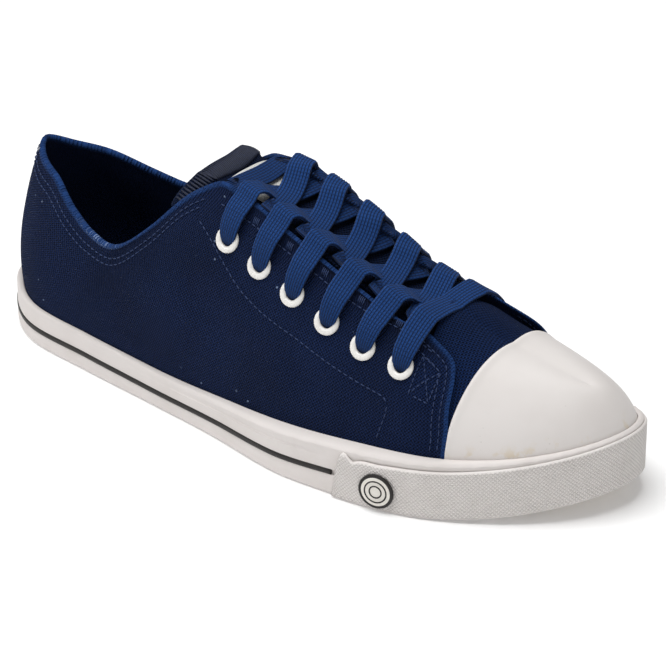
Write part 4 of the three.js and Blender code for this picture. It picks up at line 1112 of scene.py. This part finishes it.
def make_foxing():
    """The rubber band round the sole, with the stripe's groove, a fine bead and a soft top edge."""
    station, side = round_run(0, 1, 150)
    station, side = station[:-1], side[:-1]
    share = share_of(station)
    inside = -(foot_inset(share) - GAP)
    outside = -relief(share)
    top = FOXING_HEIGHT * foxing_top(share)
    run = np.arange(len(station))
    ripple = soft_step(share, 0.35, 0.5) * (0.12 * np.sin(run * 1.9) + 0.1 * np.sin(run * 3.7 + 1))
    stripe = FOXING_HEIGHT * stripe_share(share)
    groove = STRIPE_HEIGHT / 2 + GAP / 2
    bead = stripe + (top - stripe) * 0.55
    shown = soft_step(share, 0.25, 0.5) * (1 - relief(share) / (BUMPER_WALL + GAP))
    welt = 0.35 * soft_step(share, 0.4, 0.55)
    levels = (top, top - 4, (sole_wall(share) + top - 4) / 2)
    lean = [(stand_out(station, side, level) + 0.15, level) for level in levels]
    profile = [
        (inside, FLOOR_GAP), (outside - 0.5, FLOOR_GAP), (outside, FLOOR_GAP + 0.5),
        (outside, stripe - groove), (outside - STRIPE_DEPTH, stripe - groove),
        (outside - STRIPE_DEPTH, stripe + groove), (outside, stripe + groove),
        (outside, bead - 0.5), (outside + 0.4 * shown, bead - 0.2), (outside + 0.4 * shown, bead + 0.2),
        (outside, bead + 0.5), (outside, top - 3.2), (outside + welt, top - 2.4),
        (outside + welt, top - 1.2 + ripple),
        (outside - 0.5, top - 0.3 + ripple), (outside - 1.3, top + ripple), *lean,
        (inside, sole_wall(share))]
    obj = swept("foxing_band", band_rings(station, side, profile), SOLE_RUBBER, True)
    apply_modifier(obj, "BEVEL", width=0.00018, segments=2, limit_method="ANGLE",
                   angle_limit=math.radians(40))
    return finish_piece(obj, ["foxing"])


def make_stripe():
    """The dark stripe that lies in the band's groove, behind the toe strip."""
    station, side = round_run(station_of(STRIPE_END), 0, 110)
    share = share_of(station)
    outside, middle = -relief(share), FOXING_HEIGHT * stripe_share(share)
    half = STRIPE_HEIGHT / 2
    profile = [(outside - STRIPE_DEPTH + 0.1, middle - half), (outside + 0.05, middle - half),
               (outside + 0.22, middle - half + 0.3), (outside + 0.22, middle + half - 0.3),
               (outside + 0.05, middle + half), (outside - STRIPE_DEPTH + 0.1, middle + half)]
    obj = swept("foxing_line", band_rings(station, side, profile), BLACK_RUBBER)
    return finish_piece(obj, ["foxing_stripe"])


def make_bumper():
    """The knurled strip round the toe."""
    station, side = round_run(station_of(BUMPER["along"][0]), 1, 170)
    share = share_of(station)
    top = np.maximum(FOXING_HEIGHT * bumper_top(share), 2.6)
    low = FLOOR_GAP + 0.5
    face = [(0, low + (top - 1.0 - low) * level) for level in np.linspace(0, 1, 14)]
    profile = [(-BUMPER_WALL, FLOOR_GAP), (-0.5, FLOOR_GAP), *face,
               (-0.35, top - 0.3), (-0.8, top), (-BUMPER_WALL, top)]
    rings = band_rings(station, side, profile)
    heights = np.stack([np.broadcast_to(height, share.shape) for _, height in profile], 1)
    run = np.broadcast_to(arc(rings[:, 5], 0)[:, None], heights.shape)
    uv = np.stack([run, heights], -1).reshape(-1, 2)
    knurl = np.tile([0, 0] + [1] * len(face) + [0, 0, 0], len(share))
    obj = swept("knurled_toe_strip", rings, BUMPER_RUBBER, False, uv, {"knurl": knurl})
    return finish_piece(obj, ["toe_bumper"])


def turned_to(obj, point, normal, spin=0.0):
    """Places a piece modelled round the world's z axis on a place of the shoe, and applies it."""
    turn = Vector(normal).to_track_quat("Z", "Y").to_matrix().to_4x4() @ Matrix.Rotation(spin, 4, "Z")
    obj.data.transform(Matrix.Translation(Vector((np.asarray(point) - ORIGIN) / 1000)) @ turn)
    obj.data.update()


def make_badge():
    """A plain round badge: a black ring round a pale field with two fine raised circles."""
    point, out = outline_at(station_of(np.array([BADGE_ALONG])), -1.0, np.array([GAP * 0.3]))
    z = floor_line(LENGTH * BADGE_ALONG) + BADGE_LEVEL * FOXING_HEIGHT
    parts = []
    for radius, height, material in ((BADGE_RADIUS, BADGE_WALL * 0.85, BLACK_RUBBER),
                                     (BADGE_RADIUS * 0.84, BADGE_WALL, BADGE_RUBBER)):
        bpy.ops.mesh.primitive_cylinder_add(vertices=96, radius=radius / 1000, depth=height / 1000,
                                            location=(0, 0, height / 2000))
        disc = bpy.context.object
        bpy.ops.object.transform_apply(location=True)
        disc.data.materials.append(material)
        apply_modifier(disc, "BEVEL", width=0.0003, segments=3, limit_method="ANGLE",
                       angle_limit=math.radians(50))
        parts.append(disc)
    for radius in (0.62, 0.34):
        bpy.ops.mesh.primitive_torus_add(major_radius=BADGE_RADIUS * radius / 1000, minor_radius=0.00028,
                                         major_segments=72, minor_segments=10,
                                         location=(0, 0, BADGE_WALL / 1000))
        ring = bpy.context.object
        bpy.ops.object.transform_apply(location=True)
        ring.data.materials.append(BLACK_RUBBER)
        parts.append(ring)
    for part in parts:
        turned_to(part, (*point[0], z), (*out[0], 0))
    obj = joined("plain_round_badge", parts)
    return finish_piece(obj, ["side_badge"])


# Eyelets and lace.

def eyelet_across(row):
    """Distance of an eyelet from the middle line: the rows stand further apart toward the toe."""
    closing = (EYELET_ANKLE_SIDE - EYELET_TOE_SIDE) * row / (EYELET_ROWS - 1)
    return BALL_WIDTH * (EYELET_TOE_SIDE + closing)


def eyelet_places():
    """Name, middle and outward direction of each eyelet."""
    for side, word in ((-1, "lateral"), (1, "medial")):
        for row in range(EYELET_ROWS):
            x = (EYELET_FIRST - EYELET_STEP * row) * LENGTH
            place = find_place(np.array([x]), np.array([side * eyelet_across(row)]))
            yield f"eyelet_{word}_{row + 1}", surface_at(*place)[0], normal_at(*place)[0]


def make_eyelets(quarters):
    """Domed rings with a barrel through the canvas, each in a punched hole."""
    ring_middle = (EYELET_RADIUS + EYELET_HOLE) / 2
    for name, point, normal in eyelet_places():
        bpy.ops.mesh.primitive_torus_add(major_radius=ring_middle / 1000,
                                         minor_radius=(EYELET_RADIUS - ring_middle) / 1000,
                                         major_segments=56, minor_segments=18)
        ring = bpy.context.object
        ring.scale = (1, 1, 0.72)
        bpy.ops.object.transform_apply(scale=True)
        bpy.ops.mesh.primitive_cylinder_add(vertices=40, radius=(EYELET_HOLE + 0.25) / 1000, depth=0.0026,
                                            end_fill_type="NOTHING", location=(0, 0, -0.0009))
        barrel = bpy.context.object
        bpy.ops.object.transform_apply(location=True)
        apply_modifier(barrel, "SOLIDIFY", thickness=0.0004, offset=0)
        obj = joined(name + "_ring", [ring, barrel])
        obj.data.materials.append(ENAMEL)
        turned_to(obj, point + normal * 0.35, normal)
        finish_piece(obj, [name])
    for _, point, normal in eyelet_places():
        bpy.ops.mesh.primitive_cylinder_add(vertices=32, radius=(EYELET_HOLE + 0.35) / 1000, depth=0.008)
        punch = bpy.context.object
        turned_to(punch, point, normal)
        apply_modifier(quarters, "BOOLEAN", operation="DIFFERENCE", solver="MANIFOLD", object=punch)
        bpy.data.objects.remove(punch)


THROAT_EDGE = THROAT_HALF * BALL_WIDTH
ON_FACING = 1.25  # lift of a strip's middle over the facing
ON_RING = 2.85  # and over an eyelet
OVER_HOLE = [ON_RING, ON_RING - 0.2, 0.9, -2.2]  # on the ring, over the hole and into it
INTO_HOLE = [0.95, 0.88, 0.72, 0.5]  # its width there, as shares
RIBS = 8  # as many as the plaits of the braid
BRAID_THICK = 1.9


def lace_section(half, thick):
    """Points round a flat braid: plaited ribs on both faces and round edges."""
    u = np.linspace(-1, 1, 4 * RIBS + 1)
    rib = np.abs(np.cos(u * RIBS * math.pi / 2))**0.7
    edge = np.sqrt(np.clip(1 - np.abs(u)**8, 0, 1))
    z = thick / 2 * edge * (0.62 + 0.38 * rib)
    top = np.stack([u * half, z], 1)
    low = np.stack([u[::-1][1:-1] * half, -z[::-1][1:-1]], 1)
    return np.concatenate([top, low])


def lace_strip(name, start, end, across, lifts, widths, bow=0.0, steps=72):
    """One strip of lace, from one place across the shoe to another."""
    across = np.asarray(across, float)
    order = np.argsort(across)
    run = np.linspace(across.min(), across.max(), steps)
    lift = curve(across[order], np.asarray(lifts)[order], True)(run)
    width = curve(across[order], np.asarray(widths)[order], True)(run)
    share = (run - across[0]) / (across[-1] - across[0])
    along = start + (end - start) * share + bow * np.sin(math.pi * share)
    run = np.where(np.abs(run) < 0.02, 0.02, run)
    place = find_place(along * LENGTH, run)
    base, normal = sagging(surface_at(*place)), normal_at(*place, sagging)
    for _ in range(3):
        normal[1:-1] = normal[:-2] + normal[1:-1] * 2 + normal[2:]
        normal /= np.linalg.norm(normal, axis=1, keepdims=True)
    middle = base + normal * lift[:, None]
    ahead = np.gradient(middle, axis=0)
    ahead /= np.linalg.norm(ahead, axis=1, keepdims=True)
    wide = np.cross(normal, ahead)
    wide /= np.linalg.norm(wide, axis=1, keepdims=True)
    thick = np.cross(ahead, wide)
    rings, uv = [], []
    length = arc(middle, 0)
    for i in range(steps):
        narrow = width[i] / LACE_WIDTH
        section = lace_section(width[i] / 2, BRAID_THICK * (1 + 0.9 * (1 - narrow)))
        rings.append(middle[i] + section[:, :1] * wide[i] + section[:, 1:] * thick[i])
        uv.append(np.stack([section[:, 0] / narrow, np.full(len(section), length[i])], 1))
    # Painted shade: the lace is drawn darker where it sinks toward an eyelet's hole and where it narrows into
    # it.
    deep = np.clip((0.6 - lift) / 3.2, 0, 1) * 0.5 + np.clip((1 - width / LACE_WIDTH), 0, 1) * 0.35
    return swept(name, rings, LACE, False, np.concatenate(uv), {"deep": np.repeat(deep, len(section))})


def make_laces():
    """Crossing pairs, the bar by the toe and the flat strip under the facings' tips."""
    inside = LACE_LIFT["across"] * THROAT_EDGE
    for row in range(1, EYELET_ROWS):
        eye = eyelet_across(row)
        hole = [eye - EYELET_RADIUS, eye - EYELET_HOLE, eye - 0.4, eye + 1.0]
        start, end = (EYELET_FIRST - EYELET_STEP * (row - 1) - LACE_LEAD, EYELET_FIRST - EYELET_STEP * row)
        widths = LACE_WIDTH * np.concatenate([np.ones(len(inside) + 2), INTO_HOLE])
        strips = []
        for side, column, bow in ((-1, "under", -0.006), (1, "over", 0)):
            across = side * np.concatenate([inside, [THROAT_EDGE, hole[0] - 1], hole])
            lifts = np.concatenate([LACE_LIFT[column], [ON_FACING, ON_RING - 0.4], OVER_HOLE])
            strips.append(lace_strip(f"lace_{row}_{column}", start, end, across, lifts, widths, bow))
        finish_piece(joined(f"lace_pair_{row}", strips), [f"lace_crossing_{row}"])
    eye = eyelet_across(0)
    half = np.array([THROAT_EDGE, eye - EYELET_RADIUS, eye - EYELET_HOLE, eye - 0.4, eye + 1.0])
    lift = [ON_FACING + 0.9, *OVER_HOLE]
    width = LACE_WIDTH * np.array([1] + INTO_HOLE)
    mirrored = lambda values, middle: np.concatenate([values[::-1], [middle], values])
    bar = lace_strip("lace_bar_strip", EYELET_FIRST, EYELET_FIRST, np.concatenate([-half[::-1], [0], half]),
                     mirrored(lift, 1.6), mirrored(width, LACE_WIDTH))
    finish_piece(bar, ["lace_bar"])
    deep = -(QUARTER_WALL + LACE_ROOM) + 2 * GAP + LABEL_WALL + LACE_THICK / 2
    top = lace_strip("lace_top_strip", 0.431, 0.438, (THROAT_EDGE + 1.0) * np.array([-1, -0.6, 0, 0.6, 1]),
                     deep + np.array([0.2, 0.7, 0.8, 0.7, 0.2]), [LACE_WIDTH] * 5)
    finish_piece(top, ["lace_top"])


# Kept solids.

def dress(node, material):
    """A kept CAD node with a better material."""
    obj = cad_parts[node]
    obj.data.materials.clear()
    obj.data.materials.append(material)


def make_insole_cover():
    """Thin cloth cover of the insole, seen through the collar, with its weave and a soft edge."""
    station = np.linspace(0, 1, 60)
    share = share_of(station)
    inward = -foot_inset(share) + last_depth(share) - 2 * GAP
    rows = []
    for k in np.linspace(-1, 1, 31):
        edge, _ = outline_at(station, -1.0 if k < 0 else 1.0, inward)
        x = edge[:, 0]
        z = floor_line(x) + sole_wall(share) + GAP + 3.0 + 0.8 * abs(k)**6
        rows.append(np.stack([x, swing(x) + (edge[:, 1] - swing(x)) * abs(k), z], 1))
    points = np.stack(rows, 1)
    obj = thick_sheet("insole_cloth_cover", points, 0.25, -0.3, [LINING], points[..., :2], rim=1)
    finish_piece(obj, [])


# Scene.

def make_camera():
    """The photograph's view, worked out from places on the shoe: a long lens, looking down at it."""
    azimuth, elevation, roll = (math.radians(angle) for angle in (40.77, 28.98, 0.46))
    focal_pixels, picture_pixels = 4275.7, 666
    level = math.cos(elevation)
    right = Vector((math.cos(azimuth), math.sin(azimuth), 0))
    back = Vector((math.sin(azimuth) * level, -math.cos(azimuth) * level, math.sin(elevation)))
    up = back.cross(right)
    across = right * math.cos(roll) + up * math.sin(roll)
    upward = -right * math.sin(roll) + up * math.cos(roll)
    turn = Matrix((across, upward, back)).transposed().to_4x4()
    eye = (np.array([1093.73, -1082.41, 830.11]) - ORIGIN) / 1000
    data = bpy.data.cameras.new("camera")
    camera = bpy.data.objects.new("camera", data)
    bpy.context.scene.collection.objects.link(camera)
    data.sensor_width = 36
    data.lens = data.sensor_width * focal_pixels / picture_pixels
    data.clip_end = 30
    camera.matrix_world = Matrix.Translation(Vector(eye)) @ turn
    bpy.context.scene.camera = camera


def area_light(name, place, target, size, power):
    data = bpy.data.lights.new(name, "AREA")
    data.shape, data.size, data.energy = "DISK", size, power
    light = bpy.data.objects.new(name, data)
    bpy.context.scene.collection.objects.link(light)
    light.location = place
    light.rotation_mode = "QUATERNION"
    light.rotation_quaternion = (Vector(place) - Vector(target)).to_track_quat("Z", "Y")


def make_studio():
    bpy.ops.object.select_all(action="DESELECT")
    bpy.ops.mesh.primitive_plane_add(size=8, location=(0, 0, -0.00005))
    floor = bpy.context.object
    floor.name = "floor"
    bpy.ops.object.transform_apply(location=True)
    floor.data.materials.append(studio_paper())
    world = bpy.data.worlds.new("studio")
    bpy.context.scene.world = world
    world.use_nodes = True
    background = world.node_tree.nodes["Background"].inputs
    background["Color"].default_value = (1, 1, 1, 1)
    background["Strength"].default_value = 0.22
    area_light("overhead", (-0.1, -0.1, 1.3), (0, 0, 0.03), 1.1, 15)
    area_light("left_key", (-0.9, -0.9, 0.9), (0, 0, 0.03), 0.6, 5)
    area_light("right_fill", (1.0, -0.7, 0.5), (0.05, 0, 0.03), 0.8, 1.6)
    view = bpy.context.scene.view_settings
    view.view_transform = "Standard"
    view.look = "None"


make_camera()
make_studio()
quarters = make_quarters()
make_vamp()
make_toe_cap()
make_tongue()
make_overlock()
make_label()
make_stitching()
make_foxing()
make_stripe()
make_bumper()
make_badge()
make_eyelets(quarters)
make_laces()
dress("outsole", TREAD_RUBBER)
dress("insole", LINING)
make_insole_cover()
